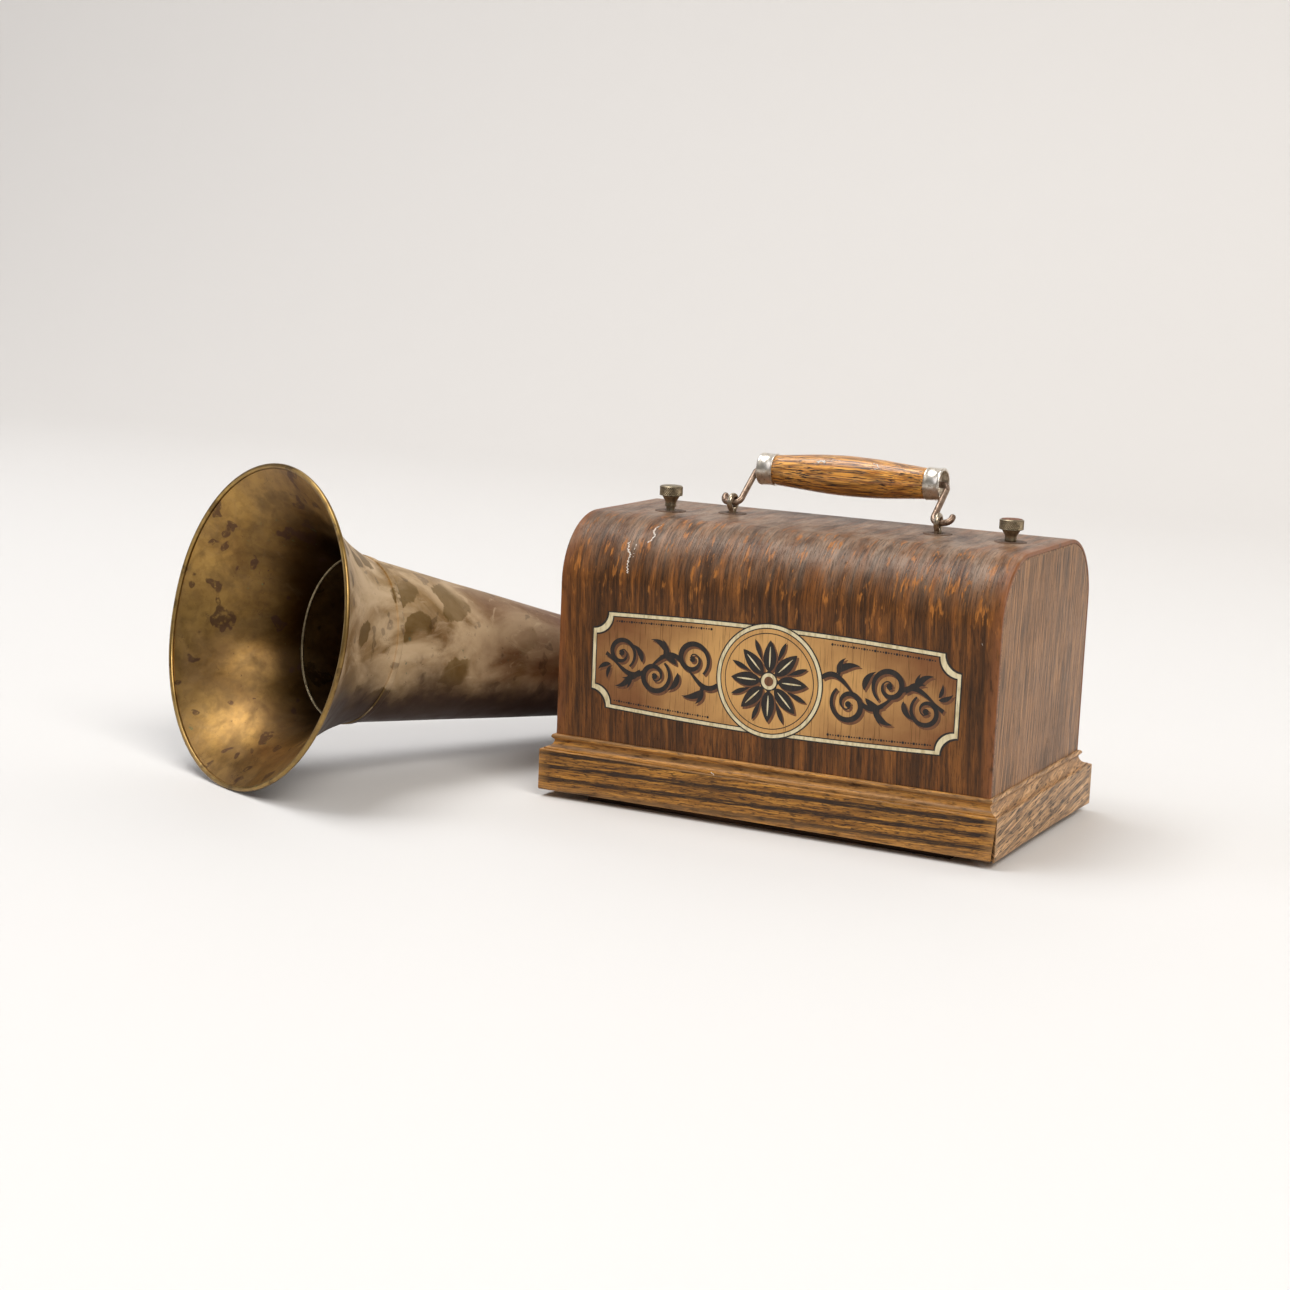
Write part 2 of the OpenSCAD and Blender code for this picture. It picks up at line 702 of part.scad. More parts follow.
module cover_wrap() {
    color("#5a3a26") difference() {
        cover_run(-cover_half_l, cover_half_l, 0);
        cover_run(-cover_half_l - 1, cover_half_l + 1, wrap_t);
        for (s = [-1, 1]) cover_run(s * cover_half_l - end_lap, s * cover_half_l + end_lap, wrap_lap_t);
        translate([-cover_half_l - 1, wrap_t - cover_half_d, plinth_top - 1])
            cube([2 * cover_half_l + 2, 2 * (cover_half_d - wrap_t), 3]);
        for (s = [-1, 1]) translate([s * cover_half_l - end_lap, wrap_lap_t - cover_half_d, plinth_top - 1])
            cube([2 * end_lap, 2 * (cover_half_d - wrap_lap_t), 3]);
        for (p = [[screw_left_x, screw_left_y], [screw_right_x, screw_right_y]])
            translate([p[0], p[1], cover_under - 1]) cylinder(h = wrap_t + 2, d = screw_shank_d + 2 * fit);
        for (s = [-1, 1]) translate([s * eye_x, eye_y, cover_under - 1]) eye_hole(wrap_t + 2);
    }
}

// An end board on the right: its outer part fits the lap, its inner part the wrap
module cover_end() {
    color("#8a6b52") {
        cover_run(cover_half_l - end_lap, cover_half_l, wrap_lap_t);
        cover_run(cover_half_l - end_t, cover_half_l - end_lap + eps, wrap_t);
    }
}

module cover_end_left() {
    mirror([1, 0, 0]) cover_end();
}

module cover_end_right() {
    cover_end();
}

module cover_washers() {
    color("#8a7a5c") {
        for (p = [[screw_left_x, screw_left_y], [screw_right_x, screw_right_y]])
            translate([p[0], p[1], cover_top]) difference() {
                cylinder(h = washer_t, d = screw_washer_d);
                translate([0, 0, -1]) cylinder(h = washer_t + 2, d = screw_shank_d + 2 * fit);
            }
        for (s = [-1, 1]) translate([s * eye_x, eye_y, cover_top]) difference() {
            cylinder(h = washer_t, d = eye_washer_d);
            translate([0, 0, -1]) eye_hole(washer_t + 2);
        }
    }
}

// Each eye is a loop of wire across X whose two legs go through the cover and are bent over under it
module handle_eyes() {
    major = (eye_hole_d + eye_wire_d) / 2;
    bend = eye_wire_d / 2 + gap;
    color("#a09a88") for (s = [-1, 1]) translate([s * eye_x, eye_y, 0]) {
        translate([0, 0, pivot_z]) rotate([0, 90, 0]) rotate_extrude() translate([major, 0])
            circle(d = eye_wire_d, $fn = 32);
        for (t = [0, 180]) rotate([0, 0, t]) translate([0, eye_leg, cover_under]) {
            cylinder(h = pivot_z - major + 0.5 - cover_under, d = eye_wire_d);
            translate([0, bend, 0]) rotate([0, 0, 90]) rotate([0, 180, 0]) wire_bend(bend, eye_wire_d);
            translate([0, bend, -bend]) rotate([-90, 0, 0]) cylinder(h = EYE_CLENCH, d = eye_wire_d);
        }
    }
}

// A knurled screw with its washer face at z = 0
module knurled_screw() {
    r = screw_head_d / 2;
    neck_r = screw_neck_d / 2;
    root_r = r - screw_ridge_h;
    top = screw_neck_h + screw_head_h;
    chamfer = 0.6;
    color("#6f6650") {
        rotate_extrude() polygon([[0, 0], [neck_r, 0], [neck_r, 1], [neck_r - 1, screw_neck_h - 1],
            [neck_r + chamfer, screw_neck_h], [r - 1.2, screw_neck_h], [r - 1.2, top - 0.7],
            [r - 3.2, top - 0.15], [0, top]]);
        translate([0, 0, screw_neck_h + chamfer]) linear_extrude(screw_head_h - 2)
            polygon([for (i = [0 : 2 * screw_ridges - 1]) let(a = i * 180 / screw_ridges)
                (i % 2 == 0 ? r : root_r) * [cos(a), sin(a)]]);
        translate([0, 0, -screw_shank_l]) cylinder(h = screw_shank_l, d = screw_shank_d);
    }
}

module cover_screw_left() {
    translate([screw_left_x, screw_left_y, cover_top + washer_t + screw_left_out]) knurled_screw();
}

module cover_screw_right() {
    translate([screw_right_x, screw_right_y, cover_top + washer_t]) knurled_screw();
}

// Everything of the handle is made upright over its pivot and then leaned back
module leaned() {
    translate([0, eye_y, pivot_z]) rotate([-bail_lean, 0, 0]) children();
}

// A quarter bend of wire in the XZ plane round the origin, from +X to +Z
module wire_bend(r, d) {
    rotate([90, 0, 0]) rotate_extrude(angle = 90) translate([r, 0]) circle(d = d, $fn = 32);
}

// The bail: a straight run through the grip, two arms, and ends that pass the eyes and turn up
module bail_half() {
    r = bail_bend_r;
    d = bail_wire_d;
    translate([0, 0, bail_arm]) rotate([0, 90, 0]) cylinder(h = arm_x - r, d = d);
    translate([arm_x - r, 0, bail_arm - r]) wire_bend(r, d);
    translate([arm_x, 0, r]) cylinder(h = bail_arm - 2 * r, d = d);
    translate([arm_x + r, 0, r]) rotate([0, 180, 0]) wire_bend(r, d);
    translate([arm_x + r, 0, 0]) rotate([0, 90, 0]) cylinder(h = tip_x - arm_x - 2 * r, d = d);
    translate([tip_x - r, 0, r]) rotate([0, 90, 0]) wire_bend(r, d);
    translate([tip_x, 0, r]) cylinder(h = bail_tip - r, d = d);
}

module handle_bail() {
    color("#6b5048") leaned() {
        bail_half();
        mirror([1, 0, 0]) bail_half();
    }
}

// The turned grip: thick in the middle, by a formula for its swelling
module handle_grip() {
    steps = 24;
    half = grip_l / 2;
    color("#b06a20") leaned() translate([0, 0, bail_arm]) rotate([0, 90, 0]) rotate_extrude()
        polygon(concat([for (i = [0 : steps]) let(x = -half + i * grip_l / steps)
            [grip_end_d / 2 + (grip_mid_d - grip_end_d) / 2 * pow(cos(x / half * 90), 1.15), x]],
            [[grip_r, half], [grip_r, -half]]));
}

module handle_ferrules() {
    wall = 1.5;
    r = ferrule_d / 2;
    color("#b8b2a8") leaned() translate([0, 0, bail_arm]) for (s = [0, 1]) mirror([s, 0, 0])
        translate([grip_l / 2, 0, 0]) rotate([0, 90, 0]) rotate_extrude()
            polygon([[grip_r, 0], [r, 0], [r, ferrule_l - 1], [r - 0.6, ferrule_l], [r - wall, ferrule_l],
                [r - wall, ferrule_l - ferrule_cup], [grip_r, ferrule_l - ferrule_cup]]);
}

// Places the horn, which is made along Z from its rim
module laid_horn() {
    translate([horn_x, horn_y, horn_z]) rotate([0, 0, -horn_turn])
        rotate([-90 - horn_tilt, 0, 0]) children();
}

// Radius of the bell's inside at the distance s from the rim
function bell_r(s) = let(w = 1 - s / horn_bell_l)
    horn_seam_r + bell_slope * w + (horn_rim_r - horn_seam_r - bell_slope) * pow(w, bell_power);

module horn_bell() {
    color("#8a6a35") laid_horn() rotate_extrude() polygon(concat(
        [for (i = [0 : BELL_STEPS]) let(s = i * horn_bell_l / BELL_STEPS) [bell_r(s), s]],
        [[horn_seam_r, horn_bell_l], [horn_seam_r + horn_t, horn_bell_l]],
        [for (i = [BELL_STEPS : -1 : 0]) let(s = i * horn_bell_l / BELL_STEPS) [bell_r(s) + horn_t, s]]));
}

module horn_rim() {
    color("#b08a4a") laid_horn() difference() {
        rotate_extrude() translate([horn_rim_r, 0]) circle(horn_bead_r, $fn = 32);
        rotate_extrude() polygon(concat(
            [for (i = [0 : 2]) let(s = i * horn_bell_l / BELL_STEPS) [bell_r(s), s]],
            [for (i = [2 : -1 : 0]) let(s = i * horn_bell_l / BELL_STEPS) [bell_r(s) + horn_t, s]]));
    }
}

module horn_cone() {
    s1 = horn_bell_l + horn_cone_l;
    taper = (horn_seam_r - horn_end_r) / horn_cone_l;
    color("#9a8568") laid_horn() rotate_extrude() polygon([
        [horn_seam_r, horn_bell_l], [horn_end_r, s1], [horn_end_r, s1 + horn_end_l],
        [end_out_r, s1 + horn_end_l], [end_out_r, s1],
        [horn_seam_r + horn_t - taper * horn_lap, horn_bell_l + horn_lap],
        [horn_seam_r + 2 * horn_t - taper * horn_lap, horn_bell_l + horn_lap],
        [horn_seam_r + 2 * horn_t, horn_bell_l]]);
}

// The mandrel is a tapered sleeve with a web at each end
module mandrel() {
    r1 = mandrel_big_d / 2;
    r2 = mandrel_small_d / 2;
    s = mandrel_shaft_d / 2;
    web_t = 4;
    color("#8f8b84") along_x(mandrel_x0, mandrel_at) rotate_extrude()
        polygon([[s, 0], [r1, 0], [r2, mandrel_l], [s, mandrel_l], [s, mandrel_l - web_t],
            [r2 - mandrel_t, mandrel_l - web_t], [r1 - mandrel_t, web_t], [s, web_t]]);
}

module mandrel_shaft() {
    end = mandrel_x0 + mandrel_l;
    color("#b5b2ac") {
        shaft(outer_x - 3, end, mandrel_at, mandrel_shaft_d);
        along_x(end, mandrel_at) cylinder(h = 3, d1 = mandrel_shaft_d + 5, d2 = mandrel_shaft_d);
        shaft(mandrel_x0 - 4, mandrel_x0, mandrel_at, mandrel_shaft_d + 6);
        shaft(outer_x - 3, outer_x - gap, mandrel_at, mandrel_shaft_d + 4);
    }
}

// A flat-belt pulley with flanges and a bore
module pulley(x, p, d, bore) {
    f = 1.5;
    r = d / 2;
    flange_r = r + flange_h;
    along_x(x, p) rotate_extrude() polygon([[bore / 2, 0], [flange_r, 0], [flange_r, f - 0.4], [r, f],
        [r, pulley_w - f], [flange_r, pulley_w - f + 0.4], [flange_r, pulley_w], [bore / 2, pulley_w]]);
}

module mandrel_pulley() {
    color("#a8874a") pulley(pulley_x, mandrel_at, mandrel_pulley_d, mandrel_shaft_d);
}

module mandrel_gear() {
    color("#b08a4a") along_x(feed_gear_x, mandrel_at)
        toothed_wheel(mandrel_teeth, feed_module, 0, feed_gear_t, mandrel_shaft_d, 0);
}

module feed_screw() {
    pitch = 4;
    in_r = feed_d / 2 - 0.6;
    out_r = feed_d / 2 + 0.1;
    x0 = standard_x + standard_t + 4;
    turns = floor((right_x - 4 - x0) / pitch);
    color("#b5b2ac") difference() {
        shaft(feed_gear_x - 1, right_x + standard_t + 1, feed_at, feed_d);
        for (i = [0 : turns - 1]) along_x(x0 + i * pitch, feed_at) rotate_extrude()
            polygon([[in_r, 0.5], [out_r, 0], [out_r, 2], [in_r, 1.5]]);
    }
}

module feed_gear() {
    color("#b08a4a") along_x(feed_gear_x, feed_at)
        toothed_wheel(feed_teeth, feed_module, 180 + 180 / feed_teeth, feed_gear_t, feed_d, 5);
}

// A steel arbor with its pinion cut in one piece
module pinion_arbor(x0, x1, p, d, pinion_x, pinion_w, size, turn) {
    shaft(x0, x1, p, d);
    along_x(pinion_x, p) linear_extrude(pinion_w) gear_outline(pinion_teeth, size, turn);
}

module second_arbor() {
    color("#b5b2ac") pinion_arbor(plate_left_x - 1, plate_right_x + plate_t + 1, second_at, arbor_d,
        great_x - 1, wheel_t + 2, great_module, SECOND_DEG + 180 + 180 / pinion_teeth);
}

module second_wheel() {
    color("#c0a060") along_x(second_x, second_at)
        toothed_wheel(second_teeth, fine_module, THIRD_DEG, wheel_t, arbor_d, 5);
}

module drive_arbor() {
    color("#b5b2ac") pinion_arbor(pulley_x - 1, plate_centre_x + plate_t + 1, third_at, arbor_d,
        second_x - 1, wheel_t + 2, fine_module, THIRD_DEG + 180 + 180 / pinion_teeth);
}

module third_wheel() {
    color("#c0a060") along_x(third_x, third_at)
        toothed_wheel(third_teeth, fine_module, GOVERNOR_DEG, wheel_t, arbor_d, 4);
}

module drive_pulley() {
    color("#a8874a") pulley(pulley_x, third_at, drive_pulley_d, arbor_d);
}

module spring_drum() {
    r = drum_d / 2;
    s = winding_d / 2 + fit;
    color("#a8874a") along_x(drum_x, drum_at) rotate_extrude() polygon([[r - drum_t, 0], [r, 0], [r, drum_w],
        [s, drum_w], [s, drum_w - drum_t], [r - drum_t, drum_w - drum_t]]);
}

module great_wheel() {
    color("#c0a060") along_x(great_x, drum_at)
        toothed_wheel(great_teeth, great_module, SECOND_DEG, wheel_t, winding_d + 2 * fit, 0);
}

// The mainspring: half turns about two centres, each half a pitch wider than the last; steps round the pitch
core_d = winding_d + 6;
PITCH_STEPS = 25;
module mainspring() {
    r0 = core_d / 2 + gap;
    room = drum_d / 2 - drum_t - r0 - mainspring_t - gap;
    step = floor(PITCH_STEPS * room / (mainspring_turns + 0.25)) / PITCH_STEPS;
    side = 1.2;
    color("#6a7078") along_x(drum_x + side, drum_at) for (i = [0 : 2 * mainspring_turns - 1])
        translate([i % 2 == 0 ? 0 : step / 2, 0, 0]) rotate([0, 0, i % 2 == 0 ? 0 : 180])
            rotate_extrude(angle = 180) translate([r0 + step / 4 + i * step / 2, 0])
                square([mainspring_t, drum_w - drum_t - 2 * side]);
}

// The governor: spindle with its pinion, two collars and the friction disc
spindle_d = arbor_d - 1;
disc_x = plate_left_x + plate_t + 6;
disc_t = 2;
collar_d = 7;
collar_w = 5;
collar_x = third_x - 9;
module governor_spindle() {
    color("#b5b2ac") {
        pinion_arbor(plate_left_x - 1, plate_centre_x + plate_t + 1, governor_at, spindle_d,
            third_x - 1, wheel_t + 2, fine_module, GOVERNOR_DEG + 180 + 180 / pinion_teeth);
        shaft(disc_x, disc_x + disc_t, governor_at, disc_d);
        shaft(disc_x, disc_x + disc_t + collar_w, governor_at, collar_d);
        shaft(collar_x, collar_x + collar_w, governor_at, collar_d);
    }
}

// Three weights, each on a bowed leaf spring between the two collars
module governor_weights() {
    x0 = disc_x + disc_t;
    x1 = collar_x + collar_w;
    half = (x1 - x0) / 2;
    leaf_t = 0.5;
    weight_h = weight_d / 2 - 0.5;
    base_r = collar_d / 2;
    rise = governor_r - base_r;
    bow = (half * half + rise * rise) / (2 * rise);
    color("#c0a060") for (i = [0 : 2]) translate([0, governor_at[0], governor_at[1]])
        rotate([i * 120 + 30, 0, 0]) {
        rotate([90, 0, 0]) translate([x0 + half, 0, -2]) linear_extrude(4) intersection() {
            translate([0, base_r + rise - bow]) difference() {
                circle(bow + leaf_t);
                circle(bow);
            }
            translate([-half, base_r]) square([2 * half, rise + leaf_t + 1]);
        }
        translate([x0 + half, 0, governor_r + leaf_t / 2]) rotate_extrude() polygon([[0, -weight_h],
            [weight_d / 2 - 0.8, -weight_h], [weight_d / 2, 0.8 - weight_h], [weight_d / 2, weight_h - 0.8],
            [weight_d / 2 - 0.8, weight_h], [0, weight_h]]);
    }
}

// Winding arbor with its core for the spring and its squared end for the key
SQUARE = 5.5;
key_x = plate_right_x + plate_t + 9;
module winding_arbor() {
    color("#b5b2ac") {
        shaft(plate_centre_x - 1, key_x, drum_at, winding_d);
        shaft(drum_x + gap, drum_x + drum_w - drum_t - gap, drum_at, core_d);
        along_x(key_x - eps, drum_at) translate([-SQUARE / 2, -SQUARE / 2, 0]) cube([SQUARE, SQUARE, 12]);
    }
}

// Outline of the ratchet: saw teeth that let the click ride one way
module ratchet_outline() {
    r = ratchet_d / 2;
    deep = 1.8;
    polygon([for (i = [0 : ratchet_teeth - 1], q = [[r, 0], [r - deep, 0.02]])
        q[0] * [cos((i + q[1]) * 360 / ratchet_teeth), sin((i + q[1]) * 360 / ratchet_teeth)]]);
}

ratchet_x = plate_right_x + plate_t + 2;
ratchet_t = 3;
module ratchet_wheel() {
    color("#8f8b84") along_x(ratchet_x, drum_at) linear_extrude(ratchet_t) difference() {
        ratchet_outline();
        circle(d = winding_d);
    }
}

// The key: a hub with a square hole and two rounded wings
module winding_key() {
    hub_l = 16;
    hub_d = 12;
    wing_w = 12;
    wing_t = 3.5;
    reach = key_span / 2 - wing_w / 2;
    hole = SQUARE + 2 * fit;
    color("#8f8b84") along_x(key_x + gap, drum_at) difference() {
        union() {
            cylinder(h = hub_l, d = hub_d);
            translate([0, wing_t / 2, hub_l - 2]) rotate([90, 0, 0]) linear_extrude(wing_t) {
                translate([-reach, 0]) square([2 * reach, wing_w]);
                for (s = [-1, 1]) translate([s * reach, wing_w / 2]) circle(d = wing_w);
            }
        }
        translate([-hole / 2, -hole / 2, -1]) cube([hole, hole, 14]);
        for (s = [-1, 1]) translate([s * reach, wing_t, hub_l - 2 + wing_w / 2]) rotate([90, 0, 0])
            cylinder(h = 2 * wing_t, d = 5);
    }
}

// The click stands over the ratchet wheel, its nose just clear of the tips
CLICK_PIN = 3;
click_at = drum_at + [-6, ratchet_d / 2 + 9];
module click() {
    r = ratchet_d / 2 + gap;
    color("#8f8b84") {
        shaft(plate_right_x - 1, ratchet_x + ratchet_t, click_at, CLICK_PIN - 2 * fit);
        translate([ratchet_x, 0, 0]) rotate([90, 0, 90]) linear_extrude(ratchet_t) difference() {
            union() {
                translate(click_at) circle(d = CLICK_PIN + 4);
                web(click_at, drum_at + [2, r + 2.6], 5, 3.4);
                web(drum_at + [0, r + 3.4], drum_at + [3.5, r - 2], 4, 1.6);
            }
            translate(drum_at) circle(r);
        }
    }
}

// The brake lever turns on a stud of the left plate and touches the friction disc with a pad
brake_at = governor_at + [-14, 14];
BRAKE_STUD = 3;
module brake_lever() {
    x = disc_x - 0.5;
    pad = governor_at + (disc_d / 2 + gap) * [cos(115), sin(115)];
    color("#a8874a") {
        shaft(plate_left_x - 1, x, brake_at, BRAKE_STUD);
        shaft(plate_left_x + plate_t + gap, x, brake_at, BRAKE_STUD + 3);
        translate([x, 0, 0]) rotate([90, 0, 90]) linear_extrude(3) difference() {
            union() {
                translate(brake_at) circle(4);
                web(brake_at, pad + [0.5, 1.8], 5, 2.6);
                web(brake_at, brake_at + [-6, 3], 5, 3.5);
            }
            translate(governor_at) circle(disc_d / 2 + gap);
        }
    }
}

// The speed screw comes through the left plate to the face of the friction disc
SPEED_SHANK = 3;
speed_at = governor_at + [4, -7.5];
module speed_screw() {
    x1 = disc_x - gap;
    x0 = pulley_x - 9;
    color("#6f6650") {
        shaft(x0, x1, speed_at, SPEED_SHANK);
        along_x(x0 - 5, speed_at) linear_extrude(5)
            polygon([for (i = [0 : 39]) (4.5 - (i % 2) * 0.4) * [cos(i * 9), sin(i * 9)]]);
        shaft(x1 - 2, x1, speed_at, SPEED_SHANK + 2);
    }
}

// The carriage slides on the guide rod; its arm turns on the rod with a ring at each end of the sleeve
module carriage_sleeve() {
    half = sleeve_l / 2;
    color("#8f8b84") ring(carriage_x - half, carriage_x + half, rod_at, sleeve_d, rod_d + 2 * fit);
}

nut_t = 3;
arm_z = rod_at[1] + arm_rise;
module carriage_arm() {
    x_in = sleeve_l / 2 + gap;
    x_out = x_in + arm_ring_l;
    hold_r = reproducer_d / 2 + 2;
    front = rod_y - sleeve_d / 2;
    nut_y = feed_at[0] - feed_d / 2 - gap - nut_t;
    nut_z = feed_at[1];
    color("#2c2a28") {
        for (s = [-1, 1]) ring(carriage_x + (s < 0 ? -x_out : x_in), carriage_x + (s < 0 ? -x_in : x_out),
            rod_at, sleeve_d, rod_d + 2 * fit);
        translate([carriage_x, 0, arm_z]) linear_extrude(arm_t) difference() {
            union() {
                translate([0, mandrel_y]) circle(hold_r);
                polygon([[-9, mandrel_y], [9, mandrel_y], [x_out, front - 1], [x_out, front + 2.5],
                    [-x_out, front + 2.5], [-x_out, front - 1]]);
            }
            translate([0, mandrel_y]) circle(d = reproducer_d);
            translate([-x_in, front - 0.6]) square([2 * x_in, 10]);
        }
        translate([carriage_x - 5, 0, 0]) rotate([90, 0, 90]) linear_extrude(10)
            polygon([[nut_y, nut_z - 5], [nut_y + nut_t, nut_z - 3], [nut_y + nut_t, nut_z + 3],
                [nut_y + 1.8, nut_z + 8], [front - 3.5, arm_z + eps], [front - 7, arm_z + eps],
                [nut_y, nut_z + 8]]);
    }
}

// The reproducer: a shallow dish over the diaphragm, a post on it and the neck that takes the horn
wall_t = 1.2;
reproducer_z = arm_z - 1;
POST_R = 8.5;
POST_H = 12;
NECK_FROM = 12;
neck_z = reproducer_h + 5.5;
module reproducer() {
    r = reproducer_d / 2;
    h = reproducer_h;
    bore_r = 2.5;
    turn = 90 - neck_deg;
    color("#b8b2a8") translate([carriage_x, mandrel_y, reproducer_z]) difference() {
        union() {
            rotate_extrude() polygon([[r - 2, 0], [r, 0], [r, h - 3], [r - 2.5, h - 1], [POST_R, h],
                [POST_R, h + POST_H - 1.5], [POST_R - 1.5, h + POST_H], [0, h + POST_H], [0, h - 3.5],
                [r - 3, 2.5], [r - 3, 1.5], [r - 2, 1.5]]);
            translate([0, 0, neck_z]) rotate([turn, 0, 0]) {
                translate([0, 0, 1]) cylinder(h = NECK_FROM - 1, d = neck_d - 1);
                translate([0, 0, NECK_FROM]) cylinder(h = neck_l, d = neck_d);
            }
            stylus_lugs();
        }
        translate([0, 0, h - 4]) cylinder(h = neck_z - h + 5, r = bore_r);
        translate([0, 0, neck_z]) rotate([turn, 0, 0]) {
            cylinder(h = NECK_FROM + 2, r = bore_r - 0.3);
            translate([0, 0, NECK_FROM]) cylinder(h = neck_l + 1, d = neck_d - 2 * wall_t);
        }
    }
}

module diaphragm() {
    color("#d8d2c0") translate([carriage_x, mandrel_y, reproducer_z + 0.8])
        cylinder(h = 0.6, r = reproducer_d / 2 - 2);
}

// The stylus lever turns on a thin pin between two lugs under the reproducer's rim
STYLUS_DROP = -2.2;
stylus_z = reproducer_z + STYLUS_DROP;
stylus_pivot_y = reproducer_d / 2 - 3;
STYLUS_PIN = 1.2;
STYLUS_HALF = 4;
LUG_T = 2;
module stylus_lever() {
    color("#b08a4a") translate([carriage_x, mandrel_y, 0]) {
        translate([-1.5, -9, stylus_z - 0.8]) cube([3, 9 + stylus_pivot_y, 1.6]);
        translate([-STYLUS_HALF, stylus_pivot_y, stylus_z]) rotate([0, 90, 0])
            cylinder(h = 2 * STYLUS_HALF, d = 2.6);
        translate([-STYLUS_HALF - LUG_T, stylus_pivot_y, stylus_z]) rotate([0, 90, 0])
            cylinder(h = 2 * (STYLUS_HALF + LUG_T), d = STYLUS_PIN);
        translate([0, -7, stylus_z - 2.4]) cylinder(h = 2, d1 = 0.8, d2 = 2);
        translate([0, 0, stylus_z + 0.8 - eps]) cylinder(h = 1.6, d = 3);
    }
}

// The two lugs that carry the stylus lever's pin
module stylus_lugs() {
    lug_x = STYLUS_HALF + gap + LUG_T / 2;
    for (s = [-1, 1]) translate([s * lug_x, stylus_pivot_y, STYLUS_DROP]) difference() {
        translate([0, 0, 0.5]) cube([LUG_T, 2.8, 4.4], center = true);
        rotate([0, 90, 0]) cylinder(h = 2 * LUG_T, d = STYLUS_PIN + 2 * fit, center = true);
    }
}

base_board();
plinth_front();
plinth_back();
plinth_left();
plinth_right();
deck_board();
corner_blocks();
bedplate();
bedplate_screws();
cover_posts();
mandrel_standard();
right_standard();
bearing_bushes();
guide_rod();
motor_plate_left();
motor_plate_centre();
motor_plate_right();
motor_pillars();
drive_belt();
cover_wrap();
cover_end_left();
cover_end_right();
cover_washers();
handle_eyes();
cover_screw_left();
cover_screw_right();
handle_bail();
handle_grip();
handle_ferrules();
horn_bell();
horn_rim();
horn_cone();
mandrel();
mandrel_shaft();
mandrel_pulley();
mandrel_gear();
feed_screw();
feed_gear();
second_arbor();
second_wheel();
drive_arbor();
third_wheel();
drive_pulley();
spring_drum();
great_wheel();
mainspring();
governor_spindle();
governor_weights();
winding_arbor();
ratchet_wheel();
winding_key();
click();
brake_lever();
speed_screw();
carriage_sleeve();
carriage_arm();
reproducer();
diaphragm();
stylus_lever();
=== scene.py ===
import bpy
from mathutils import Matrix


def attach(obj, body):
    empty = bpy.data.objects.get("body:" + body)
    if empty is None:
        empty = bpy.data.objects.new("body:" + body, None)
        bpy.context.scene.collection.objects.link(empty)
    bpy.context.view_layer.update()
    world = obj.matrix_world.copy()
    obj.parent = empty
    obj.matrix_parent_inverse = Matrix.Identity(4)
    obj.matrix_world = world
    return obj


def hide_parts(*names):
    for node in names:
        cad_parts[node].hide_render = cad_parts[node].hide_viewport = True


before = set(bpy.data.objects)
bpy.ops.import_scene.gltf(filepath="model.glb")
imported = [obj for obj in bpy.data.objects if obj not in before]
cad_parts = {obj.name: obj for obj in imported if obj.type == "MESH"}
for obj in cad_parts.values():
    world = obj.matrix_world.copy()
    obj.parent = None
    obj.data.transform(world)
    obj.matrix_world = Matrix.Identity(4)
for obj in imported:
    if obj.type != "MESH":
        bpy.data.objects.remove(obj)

"""Looks of a cylinder talking machine in its carrying case, with its loose horn beside it.

Lengths in this file are millimetres unless a name says otherwise; meshes are made in metres.
"""

import logging
import math
import random
from collections.abc import Callable, Sequence
from dataclasses import dataclass, field
from enum import Enum
from functools import partial

import bmesh
import bpy
from mathutils import Matrix, Vector, noise

MM = 0.001
LOG = logging.getLogger("gramophone")
Pair = tuple[float, float]
Triple = tuple[float, float, float]
Colour = tuple[float, float, float, float]
Tree = bpy.types.NodeTree
Node = bpy.types.Node
Socket = bpy.types.NodeSocket
Level = Socket | float

# Where the horn's rim stands on the floor, and how far the horn is turned from the case's depth.
HORN_PLACE: Pair = (-273.4, -152.5)
HORN_TURN_DEG = 22.8
# Scale at which Blender's wave texture draws about one band in each unit.
ONE_BAND_PER_UNIT = 0.32


# Finishes

class Grain(Enum):
    """Which way the fibres of a wooden piece run: along a direction of its texture, or along the case."""

    UV_V = "second texture direction"
    UV_U = "first texture direction"
    X = "length of the case"


def linear(hex_colour: str) -> Colour:
    """Turns an sRGB hex colour into linear RGBA.

    Args:
        hex_colour: Six hex digits, with or without a leading #.

    Returns:
        The colour's linear red, green and blue, and an alpha of 1.
    """
    digits = hex_colour.lstrip("#")
    parts = [int(digits[i:i + 2], 16) / 255 for i in (0, 2, 4)]
    red, green, blue = [c / 12.92 if c <= 0.04045 else ((c + 0.055) / 1.055) ** 2.4 for c in parts]
    return red, green, blue, 1.0


